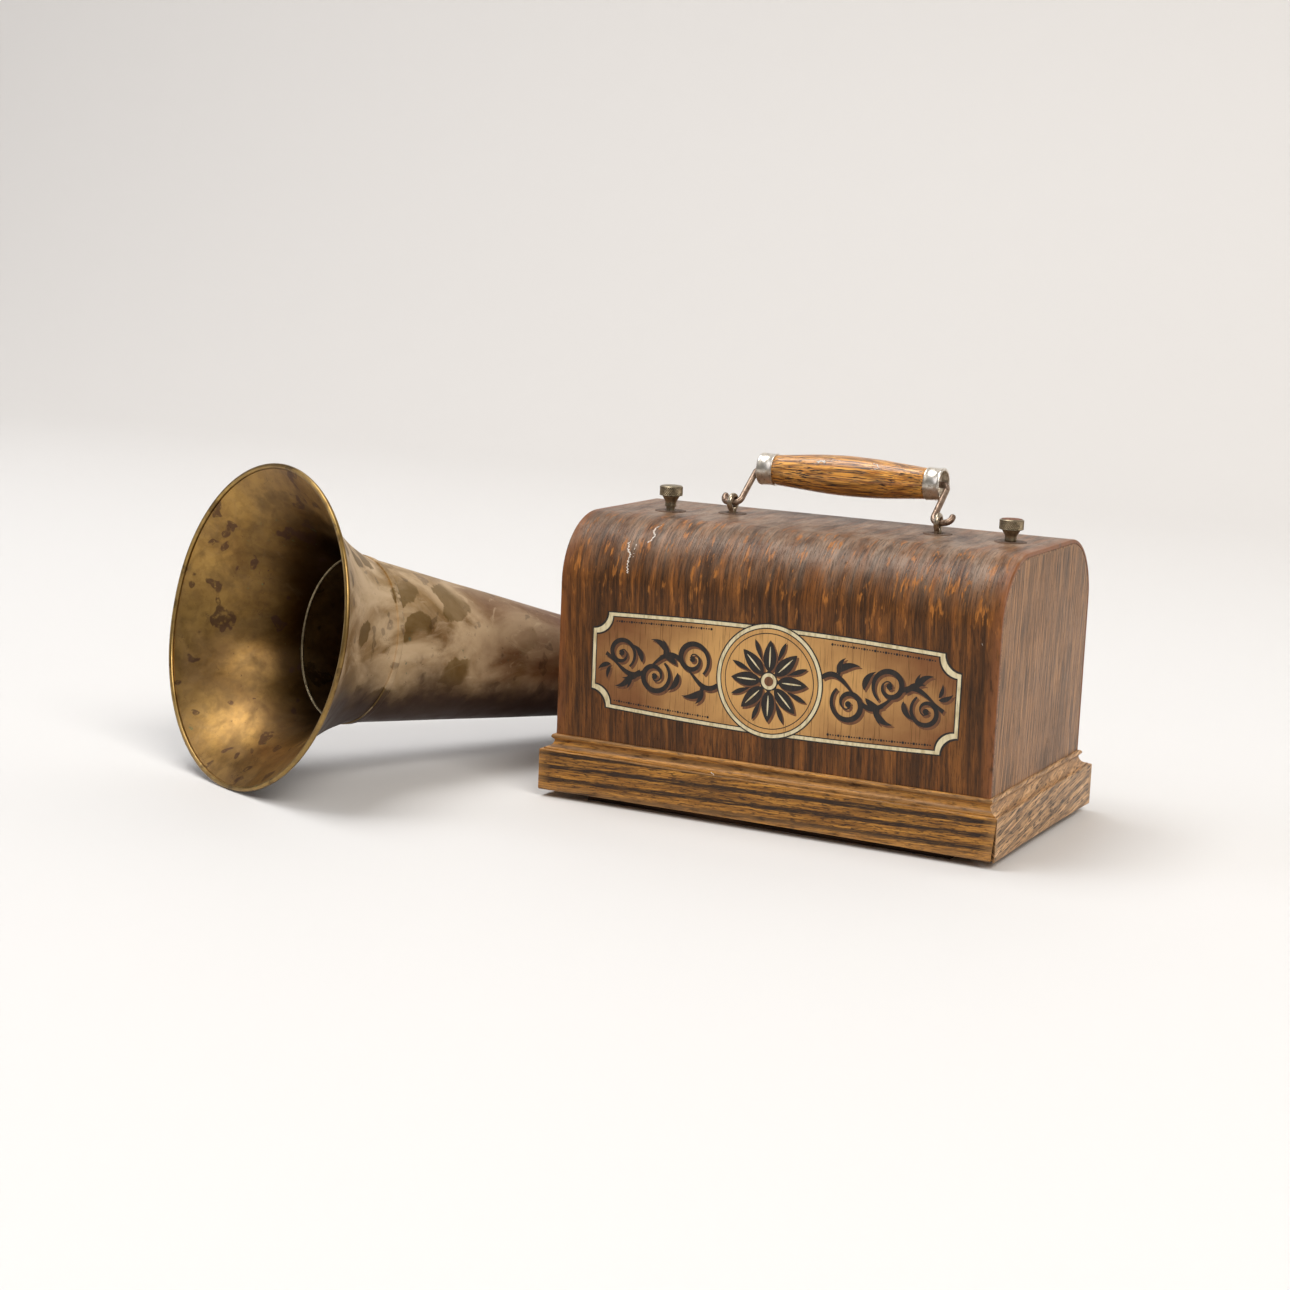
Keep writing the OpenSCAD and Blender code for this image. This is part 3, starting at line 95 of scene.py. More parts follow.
def add_node(tree: Tree, kind: str, settings: dict | None = None, links: dict | None = None) -> Node:
    """Adds a node with its settings and links.

    Args:
        tree: The node tree that it goes into.
        kind: The node's Blender type, such as ShaderNodeTexNoise.
        settings: Attribute names or input names or indices with their values; "stops" fills a colour ramp.
        links: Input names or indices with what feeds them: an output socket, a number or an sRGB hex colour.

    Returns:
        The new node.
    """
    node = tree.nodes.new(kind)
    for key, value in (settings or {}).items():
        if key == "stops":
            ramp = node.color_ramp
            while len(ramp.elements) < len(value):
                ramp.elements.new(1.0)
            for element, (place, colour) in zip(ramp.elements, value):
                element.position = place
                element.color = linear(colour)
        elif isinstance(key, str) and key not in node.inputs and hasattr(node, key):
            setattr(node, key, value)
        else:
            node.inputs[key].default_value = value
    for key, source in (links or {}).items():
        if isinstance(source, Socket):
            tree.links.new(source, node.inputs[key])
        else:
            node.inputs[key].default_value = linear(source) if isinstance(source, str) else source
    return node


@dataclass(frozen=True)
class Finish:
    """A surface with a shader of its own."""

    name: str

    def shade(self, tree: Tree, shader: Node) -> None:
        """Wires the nodes that feed the shader.

        Args:
            tree: The material's node tree.
            shader: Its Principled shader.
        """
        raise NotImplementedError

    def material(self) -> bpy.types.Material:
        """Makes the material, or gives the one already made.

        Returns:
            The material of this finish.
        """
        made = bpy.data.materials.get(self.name)
        if made:
            return made
        made = bpy.data.materials.new(self.name)
        made.use_nodes = True
        tree = made.node_tree
        tree.nodes.clear()
        shader = tree.nodes.new("ShaderNodeBsdfPrincipled")
        add_node(tree, "ShaderNodeOutputMaterial", links={"Surface": shader.outputs[0]})
        self.shade(tree, shader)
        return made


def texture_space(tree: Tree, source: str, unit_mm: Sequence[float], turn: Sequence[float] = (0, 0, 0),
                  origin_mm: Sequence[float] = (0, 0, 0)) -> Socket:
    """Turns the object's or the UV's metres, then measures them in a pattern's own units.

    Args:
        tree: The material's node tree.
        source: The Texture Coordinate output to start from.
        unit_mm: Millimetres that one unit of the pattern takes along each axis.
        turn: Rotation of the pattern in radians.
        origin_mm: Where the pattern starts.

    Returns:
        The socket that holds the scaled coordinates.
    """
    place = add_node(tree, "ShaderNodeTexCoord")
    settings = {"vector_type": "TEXTURE", "Scale": [size * MM for size in unit_mm], "Rotation": turn,
                "Location": [place_mm * MM for place_mm in origin_mm]}
    return add_node(tree, "ShaderNodeMapping", settings, {"Vector": place.outputs[source]}).outputs[0]


class Step(Enum):
    """Steps of a finish: Blender's node, its settings, its inputs in the order they are given, its output."""

    # One colour laid over another.
    LAY = ("ShaderNodeMix", {"data_type": "RGBA"}, (6, 7, 0), 2)
    # A value made a mask that goes smoothly from 0 to 1.
    MASK = ("ShaderNodeMapRange", {"interpolation_type": "SMOOTHSTEP"}, ("Value", "From Min", "From Max"), 0)
    # Sums for each point of the surface.
    PLUS = ("ShaderNodeMath", {"operation": "ADD"}, (0, 1), 0)
    MINUS = ("ShaderNodeMath", {"operation": "SUBTRACT"}, (0, 1), 0)
    TIMES = ("ShaderNodeMath", {"operation": "MULTIPLY"}, (0, 1), 0)
    TIMES_PLUS = ("ShaderNodeMath", {"operation": "MULTIPLY_ADD"}, (0, 1, 2), 0)
    DIVIDE = ("ShaderNodeMath", {"operation": "DIVIDE"}, (0, 1), 0)
    GREATER = ("ShaderNodeMath", {"operation": "MAXIMUM"}, (0, 1), 0)
    UNSIGNED = ("ShaderNodeMath", {"operation": "ABSOLUTE"}, (0,), 0)


def take(tree: Tree, step: Step, *inputs: Level | str) -> Socket:
    """Takes one step of a finish.

    Args:
        tree: The material's node tree.
        step: Which step.
        inputs: For LAY the colour below, the one above it and how much of that shows; for MASK the value,
            what gives 0 and what gives 1; for the others their values in order.

    Returns:
        The result's socket.
    """
    kind, settings, places, output = step.value
    return add_node(tree, kind, settings, dict(zip(places, inputs))).outputs[output]


def fit_shader(tree: Tree, shader: Node, colour: Socket, rough: Socket, height: Socket,
               depth_mm: float) -> None:
    """Feeds a shader its colour, roughness and bump.

    Args:
        tree: The material's node tree.
        shader: The Principled shader.
        colour: Base colour.
        rough: Roughness.
        height: Relief from 0 to 1.
        depth_mm: Height in millimetres that a relief of 1 stands for.
    """
    tree.links.new(colour, shader.inputs["Base Color"])
    tree.links.new(rough, shader.inputs["Roughness"])
    bump = add_node(tree, "ShaderNodeBump", {"Strength": 1.0, "Distance": depth_mm * MM}, {"Height": height})
    tree.links.new(bump.outputs[0], shader.inputs["Normal"])


@dataclass(frozen=True)
class Oak(Finish):
    """Open-pored oak under an old, dulled varnish.

    The eye gets fine fibres, short dark pores, dark latewood bands and warm flecks, all along the grain.
    Sizes are pairs of millimetres: across the grain and along it. Real pores are 0.2 to 0.3 mm wide; they are
    drawn 0.4 mm wide so that they show.
    """

    grain: Grain
    light: str
    mid: str
    dark: str
    pore: str
    fleck: str
    tone_mm: Pair = (1.6, 60.0)
    patch_mm: Pair = (12.0, 90.0)
    patch_share: float = 0.5
    ring_mm: Pair = (8.0, 80.0)
    ring_share: float = 0.0
    ring_wander: float = 3.0
    feather_mm: Pair = (0.8, 14.0)
    streak_mm: Pair = (0.7, 20.0)
    streak_share: float = 0.5
    fleck_mm: Pair = (1.1, 13.0)
    fleck_share: float = 0.3
    cluster_mm: Pair = (9.0, 30.0)
    fibre_mm: Pair = (0.5, 24.0)
    pore_mm: Pair = (0.4, 6.0)
    pore_share: float = 0.7
    slant_deg: float = 0.0
    roughness: float = 0.46
    gloss: float = 0.25
    coat: float = 0.12
    coat_roughness: float = 0.32
    relief_mm: float = 0.1
    grime: str = "#2a1c12"
    grime_mm: float = 60.0
    grime_share: float = 0.3
    worn: str = "#9a6a44"
    worn_mm: Pair = (3.0, 12.0)
    worn_share: float = 0.6
    bloom_and_sheen: str = "#8d7a68"
    bloom_and_sheen_mm: Pair = (10.0, 26.0)
    bloom_and_sheen_share: float = 0.0

    def space(self, tree: Tree, size_mm: Pair) -> Socket:
        """Gives texture space in which one unit has a size across the fibres and another along them.

        Args:
            tree: The material's node tree.
            size_mm: Size of a pattern unit across the grain and along it.

        Returns:
            The coordinates' socket.
        """
        across, along = size_mm
        slant = math.radians(self.slant_deg)
        spaces = {Grain.UV_V: ("UV", (across, along, across), (0, 0, slant)),
                  Grain.UV_U: ("UV", (along, across, across), (0, 0, slant)),
                  Grain.X: ("Object", (along, across, across), (0, 0, 0))}
        return texture_space(tree, *spaces[self.grain])

    def fleck_field(self, tree: Tree) -> Level:
        """Tells how strongly the flecks show at a point."""
        return self.fleck_share

    def bloom_and_sheen_field(self, tree: Tree) -> Level:
        """Tells how strongly the pale patches show at a point; they are greyed varnish, and on the bent
        veneer a painted sheen.
        """
        return self.bloom_and_sheen_share

    def shade(self, tree: Tree, shader: Node) -> None:
        """Wires the oak's colour, pores and relief.

        Args:
            tree: The material's node tree.
            shader: Its Principled shader.
        """
        do = partial(take, tree)

        def along(size_mm: Pair, detail: float = 3.0, warp: float = 0.0) -> Socket:
            """Draws noise out along the fibres.

            Args:
                size_mm: Size of its patches across the grain and along it.
                detail: Number of finer layers in it.
                warp: How far it bends its own shapes.

            Returns:
                The noise's socket.
            """
            return add_node(tree, "ShaderNodeTexNoise",
                            {"Scale": 1.0, "Detail": detail, "Roughness": 0.6, "Distortion": warp},
                            {"Vector": self.space(tree, size_mm)}).outputs["Fac"]

        colour = add_node(tree, "ShaderNodeValToRGB",
                          {"stops": [(0.36, self.dark), (0.5, self.mid), (0.64, self.light)]},
                          {"Fac": along(self.tone_mm, 6.0, 0.3)}).outputs["Color"]
        # Whole groups of fibres are darker or warmer than the next.
        patches = along(self.patch_mm, 4.0, 0.5)
        dark = do(Step.TIMES, do(Step.MASK, patches, 0.5, 0.36), self.patch_share)
        warm = do(Step.TIMES, do(Step.MASK, patches, 0.52, 0.68), self.patch_share * 0.6)
        colour = do(Step.LAY, do(Step.LAY, colour, self.dark, dark), self.fleck, warm)
        if self.ring_share:
            # Growth rings: feathered dark bands at the first size's distance.
            rings = add_node(tree, "ShaderNodeTexWave",
                             {"bands_direction": "X" if self.grain is Grain.UV_V else "Y",
                              "Scale": ONE_BAND_PER_UNIT, "Distortion": self.ring_wander, "Detail": 3.0,
                              "Detail Scale": 1.2, "Detail Roughness": 0.6},
                             {"Vector": self.space(tree, self.ring_mm)}).outputs["Fac"]
            feather = do(Step.TIMES, do(Step.MINUS, along(self.feather_mm), 0.5), 0.9)
            rings = do(Step.MASK, do(Step.PLUS, rings, feather), 0.58, 0.88)
            colour = do(Step.LAY, colour, self.pore, do(Step.TIMES, rings, self.ring_share))
        # Pale patches with ragged ends: greyed varnish, and on the bent veneer a painted sheen over its top
        # and bends.
        haze = do(Step.MASK, along(self.bloom_and_sheen_mm, 6.0), 0.3, 0.7)
        colour = do(Step.LAY, colour, self.bloom_and_sheen, do(Step.TIMES, haze, self.bloom_and_sheen_field(tree)))
        fibre = along(self.fibre_mm, 4.0)
        pale, deep = do(Step.MASK, fibre, 0.52, 0.7), do(Step.MASK, fibre, 0.48, 0.32)
        colour = do(Step.LAY, colour, self.light, do(Step.TIMES, pale, 0.45))
        colour = do(Step.LAY, colour, self.dark, do(Step.TIMES, deep, 0.5))
        # Warm flecks where the varnish has thinned, in clusters a finger wide.
        cluster = do(Step.MASK, along(self.cluster_mm), 0.46, 0.56)
        flecks = do(Step.TIMES, do(Step.MASK, along(self.fleck_mm, 3.0, 0.2), 0.53, 0.63), cluster)
        colour = do(Step.LAY, colour, self.fleck, do(Step.TIMES, flecks, self.fleck_field(tree)))
        # Dark dashes: groups of pores that dirt has filled.
        streaks = do(Step.MASK, along(self.streak_mm, 2.0), 0.53, 0.61)
        colour = do(Step.LAY, colour, self.pore, do(Step.TIMES, streaks, self.streak_share))
        pores = do(Step.MASK, along(self.pore_mm, 2.0), 0.61, 0.69)
        colour = do(Step.LAY, colour, self.pore, do(Step.TIMES, pores, self.pore_share))
        # Hand dirt lies in broad patches, and rubbed edges are lighter; on the plinth the marked wear also
        # covers the whole moulding as a painted sheen.
        dirt = add_node(tree, "ShaderNodeTexNoise", {"Scale": 1.0, "Detail": 4.0, "Roughness": 0.6},
                        {"Vector": texture_space(tree, "Object", (self.grime_mm,) * 3)}).outputs["Fac"]
        grimy = do(Step.TIMES, do(Step.MASK, dirt, 0.52, 0.74), self.grime_share)
        colour = do(Step.LAY, colour, self.grime, grimy)
        wear = add_node(tree, "ShaderNodeAttribute", {"attribute_name": "wear"}).outputs["Fac"]
        rubbed_and_sheen = do(Step.TIMES, wear, do(Step.MASK, along(self.worn_mm, 4.0), 0.3, 0.55))
        colour = do(Step.LAY, colour, self.worn, do(Step.TIMES, rubbed_and_sheen, self.worn_share))
        rough = do(Step.PLUS, self.roughness - 0.08, do(Step.TIMES, dirt, 0.16))
        hollow = do(Step.GREATER, pores, do(Step.TIMES, streaks, 0.5))
        relief = do(Step.MINUS, do(Step.TIMES, fibre, 0.4), hollow)
        fit_shader(tree, shader, colour, rough, relief, self.relief_mm)
        shader.inputs["Specular IOR Level"].default_value = self.gloss
        shader.inputs["Coat Weight"].default_value = self.coat
        shader.inputs["Coat Roughness"].default_value = self.coat_roughness


@dataclass(frozen=True)
class BentOak(Oak):
    """Oak veneer bent over the cover: its bends have worn into warm flecks, and its top and bends are painted
    paler as a sheen.

    The zones are measured over the veneer, in millimetres from the middle of the top.
    """

    crown_mm: float = 178.35
    bend_from_mm: Pair = (26.0, 46.0)
    bend_to_mm: Pair = (115.0, 85.0)
    # Distances from the middle of the top between which the painted sheen fades in.
    sheen_mm: Pair = (92.0, 50.0)
    least_flecks: float = 0.06

    def zone(self, tree: Tree, limits_mm: Pair) -> Socket:
        """Gives a mask of the distance from the middle of the top.

        Args:
            tree: The material's node tree.
            limits_mm: Distance at which the mask is 0, and at which it is 1.

        Returns:
            The mask's socket.
        """
        place = add_node(tree, "ShaderNodeTexCoord")
        walked = add_node(tree, "ShaderNodeSeparateXYZ", links={0: place.outputs["UV"]}).outputs[1]
        away = take(tree, Step.UNSIGNED, take(tree, Step.MINUS, walked, self.crown_mm * MM))
        return take(tree, Step.MASK, away, limits_mm[0] * MM, limits_mm[1] * MM)

    def fleck_field(self, tree: Tree) -> Socket:
        """Tells how strongly the flecks show: most on the bends.

        Args:
            tree: The material's node tree.

        Returns:
            The share's socket.
        """
        start, end = self.zone(tree, self.bend_from_mm), self.zone(tree, self.bend_to_mm)
        bend = take(tree, Step.TIMES, start, end)
        return take(tree, Step.TIMES_PLUS, bend, self.fleck_share, self.least_flecks)

    def bloom_and_sheen_field(self, tree: Tree) -> Socket:
        """Tells how strongly the painted sheen shows: on the top and the bends."""
        return take(tree, Step.TIMES, self.zone(tree, self.sheen_mm), self.bloom_and_sheen_share)


@dataclass(frozen=True)
class OldBrass(Finish):
    """Sheet brass spun on a lathe and left to tarnish.

    The eye gets a soft metal gleam with fine turning lines, brown blotches, dark spots and green verdigris.
    Sizes are millimetres across a patch. Real turning lines are finer than 0.7 mm; they are drawn as coarse
    as that so that they show.
    """

    bright: str
    tone: str
    stain: str
    spot: str
    verdigris: str
    dust: str
    stain_share: float
    dust_share: float
    roughness: float
    metallic: float = 1.0
    tone_mm: float = 60.0
    stain_mm: float = 26.0
    mottle_mm: float = 5.0
    mottle_share: float = 0.28
    dust_mm: float = 34.0
    wisp_mm: float = 12.0
    spots: float = 0.7
    speck_mm: float = 2.6
    blot_mm: float = 14.0
    crack_mm: float = 7.0
    verdigris_mm: float = 6.0
    verdigris_share: float = 0.7
    ovals: float = 0.0
    oval_mm: Triple = (27.0, 40.0, 24.0)
    oval_turn: Triple = (0.3, 0.5, -0.2)
    # How strongly the downward faces are painted dark as shade.
    underside_shade: float = 0.0
    shadow: str = "#3a2418"
    far: str = ""
    far_mm: Pair = (70.0, 230.0)
    turning_mm: Triple = (250.0, 0.7, 1000.0)
    relief_mm: float = 0.07

    def shade(self, tree: Tree, shader: Node) -> None:
        """Wires the brass's tarnish.

        Args:
            tree: The material's node tree.
            shader: Its Principled shader.
        """
        do = partial(take, tree)
        heading = (0, 0, math.radians(-HORN_TURN_DEG))

        def cloud(size_mm: float, detail: float = 5.0, warp: float = 0.0, stretch: float = 1.0) -> Socket:
            """Makes noise in patches.

            Args:
                size_mm: Size of a patch.
                detail: Number of finer layers in it.
                warp: How far it bends its own shapes.
                stretch: How many times longer the patches are along the horn.

            Returns:
                The noise's socket.
            """
            space = texture_space(tree, "Object", (size_mm, size_mm * stretch, size_mm), heading)
            return add_node(tree, "ShaderNodeTexNoise",
                            {"Scale": 1.0, "Detail": detail, "Distortion": warp, "Roughness": 0.6},
                            {"Vector": space}).outputs["Fac"]

        def sway(size_mm: float, detail: float = 5.0, warp: float = 0.0) -> Socket:
            """Makes noise that swings about 0 and makes an even edge ragged."""
            return do(Step.MINUS, cloud(size_mm, detail, warp), 0.5)

        colour = add_node(tree, "ShaderNodeValToRGB",
                          {"stops": [(0.35, self.tone), (0.66, self.bright)]},
                          {"Fac": cloud(self.tone_mm, 9.0, 0.6)}).outputs["Color"]
        stains = do(Step.MASK, cloud(self.stain_mm, 9.0, 0.8), 0.46, 0.66)
        colour = do(Step.LAY, colour, self.stain, do(Step.TIMES, stains, self.stain_share))
        # Fine mottling, like the skin of an orange.
        mottle = do(Step.MASK, cloud(self.mottle_mm, 5.0, 0.3), 0.42, 0.62)
        colour = do(Step.LAY, colour, self.stain, do(Step.TIMES, mottle, self.mottle_share))
        rough_extra = do(Step.TIMES, stains, 0.08)
        near: Level = 1.0
        if self.far:
            # Further along the horn from the rim the brass turns to the far colour in a ragged band: browned
            # brass on the outside, and inside the bell browning together with painted shade of its depth.
            start, end = self.far_mm[0] * MM, self.far_mm[1] * MM
            from_rim = texture_space(tree, "Object", (1000, 1000, 1000), heading, (*HORN_PLACE, 0))
            reach = add_node(tree, "ShaderNodeSeparateXYZ", links={0: from_rim}).outputs[1]
            reach = do(Step.PLUS, reach, do(Step.TIMES, sway(50, 5.0, 0.6), 0.9 * (end - start)))
            near = do(Step.MASK, reach, end, start)
            colour = do(Step.LAY, self.far, colour, near)
        lit: Level = 1.0
        if self.underside_shade:
            # Painted shade: downward faces, found by their normal, are laid nearly black and keep no dust
            # haze.
            normal = add_node(tree, "ShaderNodeNewGeometry")
            up = add_node(tree, "ShaderNodeSeparateXYZ", links={0: normal.outputs["Normal"]}).outputs[2]
            lit = do(Step.MASK, do(Step.PLUS, up, sway(40)), -0.66, -0.08)
        if self.dust_share:
            dust = do(Step.MASK, cloud(self.dust_mm, 7.0, 1.0, 1.8), 0.36, 0.66)
            veil = do(Step.TIMES, do(Step.TIMES, dust, self.dust_share), lit)
            veil = do(Step.TIMES, veil, do(Step.TIMES_PLUS, near, 0.6, 0.4))
            colour = do(Step.LAY, colour, self.dust, veil)
            sheen = do(Step.TIMES_PLUS, veil, -0.8 * self.metallic, self.metallic)
            tree.links.new(sheen, shader.inputs["Metallic"])
            wisps = do(Step.TIMES, do(Step.MASK, cloud(self.wisp_mm, 6.0, 2.0, 2.4), 0.56, 0.68), lit)
            colour = do(Step.LAY, colour, self.dust, do(Step.TIMES, wisps, self.dust_share * 0.6))
            rough_extra = do(Step.PLUS, rough_extra, do(Step.TIMES, dust, 0.12))
        if self.ovals:
            # Where drops lay, the haze has gone in ovals some 20 mm long with a crisp edge.
            cells = add_node(tree, "ShaderNodeTexVoronoi", {"Scale": 1.0, "Randomness": 0.95},
                             {"Vector": texture_space(tree, "Object", self.oval_mm, self.oval_turn)})
            edge = do(Step.PLUS, cells.outputs["Distance"], do(Step.TIMES, sway(12, 3.0), 0.45))
            where = do(Step.MASK, cloud(64, 2.0), 0.44, 0.5)
            drops = do(Step.TIMES, do(Step.MASK, edge, 0.37, 0.32), where)
            drops = do(Step.TIMES, drops, do(Step.TIMES, near, self.ovals))
            colour = do(Step.LAY, colour, self.stain, drops)
        specks = do(Step.MASK, cloud(self.speck_mm, 2.0, 0.5), 0.7, 0.76)
        colour = do(Step.LAY, colour, self.spot, do(Step.TIMES, specks, self.spots * 0.8))
        blots = do(Step.TIMES, do(Step.MASK, cloud(3, 3.0), 0.3, 0.5), self.spots)
        blots = do(Step.TIMES, do(Step.MASK, cloud(self.blot_mm, 1.6, 0.2), 0.62, 0.65), blots)
        colour = do(Step.LAY, colour, self.spot, do(Step.TIMES, blots, 0.8))
        # Cracked crust: short dark lines where one noise passes its middle and a slower one is high.
        crack = do(Step.UNSIGNED, sway(self.crack_mm, 4.0, 0.8))
        cracks = do(Step.MASK, cloud(17, 2.0), 0.6, 0.66)
        cracks = do(Step.TIMES, do(Step.MASK, crack, 0.006, 0.002), cracks)
        colour = do(Step.LAY, colour, self.spot, do(Step.TIMES, cracks, self.spots))
        green = do(Step.MASK, cloud(self.verdigris_mm, 3.0), 0.66, 0.72)
        green = do(Step.TIMES, green, do(Step.MASK, cloud(48, 2.0), 0.54, 0.62))
        colour = do(Step.LAY, colour, self.verdigris, do(Step.TIMES, green, self.verdigris_share))
        if self.underside_shade:
            # Painted shade: downward faces take the dark shadow colour.
            painted_shade_below = do(Step.TIMES, do(Step.MINUS, 1.0, lit), self.underside_shade)
            colour = do(Step.LAY, colour, self.shadow, painted_shade_below)
        lines = add_node(tree, "ShaderNodeTexNoise", {"Scale": 1.0, "Detail": 2.0},
                         {"Vector": texture_space(tree, "UV", self.turning_mm)}).outputs["Fac"]
        rough = do(Step.PLUS, self.roughness, rough_extra)
        rough = do(Step.PLUS, rough, do(Step.TIMES, sway(self.blot_mm), 0.2))
        orange_peel = do(Step.TIMES, cloud(self.mottle_mm, 4.0), 0.4)
        relief = do(Step.PLUS, do(Step.TIMES, lines, 0.12), orange_peel)
        fit_shader(tree, shader, colour, rough, relief, self.relief_mm)
        if not self.dust_share:
            shader.inputs["Metallic"].default_value = self.metallic


@dataclass(frozen=True)
class Metal(Finish):
    """A metal with patches of wear, tarnish or rust and fine scratches."""

    colour: str
    worn: str
    deposit: str
    deposit_share: float
    roughness: float
    patch_mm: float = 5.0
    relief_mm: float = 0.02
    metallic: float = 1.0
    scratch_mm: float = 0.8

    def shade(self, tree: Tree, shader: Node) -> None:
        """Wires the metal's wear.

        Args:
            tree: The material's node tree.
            shader: Its Principled shader.
        """
        do = partial(take, tree)

        def cloud(size_mm: float, detail: float = 4.0) -> Socket:
            """Makes noise in patches of a size in millimetres."""
            return add_node(tree, "ShaderNodeTexNoise", {"Scale": 1.0, "Detail": detail, "Roughness": 0.62},
                            {"Vector": texture_space(tree, "Object", (size_mm,) * 3)}).outputs["Fac"]

        colour = do(Step.LAY, self.colour, self.worn, do(Step.MASK, cloud(self.patch_mm), 0.45, 0.62))
        spread = 0.2 * self.deposit_share
        deposit = do(Step.MASK, cloud(self.patch_mm * 0.7, 5.0), 0.66 - spread, 0.76 - spread)
        covered = do(Step.TIMES, deposit, min(1.0, 0.4 + self.deposit_share))
        colour = do(Step.LAY, colour, self.deposit, covered)
        fine = cloud(self.scratch_mm, 3.0)
        rough = do(Step.PLUS, self.roughness, do(Step.TIMES, deposit, 0.2))
        rough = do(Step.PLUS, rough, do(Step.TIMES, do(Step.MINUS, fine, 0.5), 0.2))
        relief = do(Step.PLUS, do(Step.TIMES, fine, 0.4), do(Step.TIMES, deposit, 0.6))
        fit_shader(tree, shader, colour, rough, relief, self.relief_mm)
        shader.inputs["Metallic"].default_value = self.metallic


@dataclass(frozen=True)
class GiltLeaf(Finish):
    """Bronze powder varnished onto paper and slid onto the wood: a dull gold ground, browner at its ends."""

    light: str
    deep: str
    centre_mm: Pair
    half_mm: Pair
    crack: str = "#4a2f18"
    crack_mm: Triple = (0.6, 0.6, 16.0)
    mottle_mm: float = 16.67
    relief_mm: float = 0.03
    roughness: float = 0.42
    metallic: float = 0.55

    def shade(self, tree: Tree, shader: Node) -> None:
        """Wires the gold ground with its darker ends and fine cracks.

        Args:
            tree: The material's node tree.
            shader: Its Principled shader.
        """
        do = partial(take, tree)
        place = add_node(tree, "ShaderNodeTexCoord")
        parts = add_node(tree, "ShaderNodeSeparateXYZ", links={0: place.outputs["Object"]})
        out_x, out_z = (
            do(Step.UNSIGNED, do(Step.DIVIDE, do(Step.MINUS, parts.outputs[axis], centre * MM), half * MM))
            for axis, centre, half in zip((0, 2), self.centre_mm, self.half_mm))
        grain = add_node(tree, "ShaderNodeTexNoise", {"Scale": 1.0, "Detail": 4.0},
                         {"Vector": texture_space(tree, "Object", self.crack_mm)}).outputs["Fac"]
        mottle = add_node(tree, "ShaderNodeTexNoise", {"Scale": 1.0, "Detail": 4.0},
                          {"Vector": texture_space(tree, "Object", (self.mottle_mm,) * 3)}).outputs["Fac"]
        away = do(Step.PLUS, do(Step.TIMES, out_x, 0.75), do(Step.TIMES, out_z, 0.35))
        away = do(Step.PLUS, away, do(Step.TIMES, do(Step.MINUS, mottle, 0.5), 0.5))
        colour = do(Step.LAY, self.light, self.deep, do(Step.MASK, away, 0.15, 0.95))
        cracks = do(Step.TIMES, do(Step.MASK, grain, 0.54, 0.72), 0.55)
        colour = do(Step.LAY, colour, self.crack, cracks)
        rough = do(Step.PLUS, self.roughness, do(Step.TIMES, grain, 0.1))
        fit_shader(tree, shader, colour, rough, grain, self.relief_mm)
        shader.inputs["Metallic"].default_value = self.metallic


@dataclass(frozen=True)
class PrintedInk(Finish):
    """Ink of the transfer: flat colour that the wood's grain has begun to crack."""

    colour: str
    aged: str
    crack: str = "#4a2f1c"
    age_mm: Triple = (2.0, 2.0, 8.0)
    crack_mm: Triple = (0.65, 0.65, 11.0)
    relief_mm: float = 0.02
    roughness: float = 0.5

    def shade(self, tree: Tree, shader: Node) -> None:
        """Wires the ink's age.

        Args:
            tree: The material's node tree.
            shader: Its Principled shader.
        """
        do = partial(take, tree)
        mottle = add_node(tree, "ShaderNodeTexNoise", {"Scale": 1.0, "Detail": 4.0},
                          {"Vector": texture_space(tree, "Object", self.age_mm)}).outputs["Fac"]
        cracks = add_node(tree, "ShaderNodeTexNoise", {"Scale": 1.0, "Detail": 3.0},
                          {"Vector": texture_space(tree, "Object", self.crack_mm)}).outputs["Fac"]
        colour = do(Step.LAY, self.colour, self.aged, do(Step.MASK, mottle, 0.42, 0.7))
        split = do(Step.TIMES, do(Step.MASK, cracks, 0.66, 0.74), 0.6)
        colour = do(Step.LAY, colour, self.crack, split)
        rough = do(Step.PLUS, self.roughness, do(Step.TIMES, mottle, 0.1))
        fit_shader(tree, shader, colour, rough, cracks, self.relief_mm)


@dataclass(frozen=True)
class Plain(Finish):
    """A plain stuff such as leather, mica or paint, with a mottled tone and a fine relief."""

    colour: str
    aged: str
    roughness: float
    size_mm: float = 6.0
    relief_mm: float = 0.03
    clear: float = 0.0

    def shade(self, tree: Tree, shader: Node) -> None:
        """Wires the mottled tone.

        Args:
            tree: The material's node tree.
            shader: Its Principled shader.
        """
        mottle = add_node(tree, "ShaderNodeTexNoise", {"Scale": 1.0, "Detail": 5.0, "Roughness": 0.6},
                          {"Vector": texture_space(tree, "Object", (self.size_mm,) * 3)}).outputs["Fac"]
        fine = add_node(tree, "ShaderNodeTexNoise", {"Scale": 1.0, "Detail": 3.0},
                        {"Vector": texture_space(tree, "Object", (self.size_mm / 8,) * 3)}).outputs["Fac"]
        aged = take(tree, Step.MASK, mottle, 0.4, 0.7)
        colour = take(tree, Step.LAY, self.colour, self.aged, aged)
        rough = take(tree, Step.PLUS, self.roughness - 0.05, take(tree, Step.TIMES, mottle, 0.1))
        fit_shader(tree, shader, colour, rough, fine, self.relief_mm)
        shader.inputs["Transmission Weight"].default_value = self.clear


# Finishes of this object

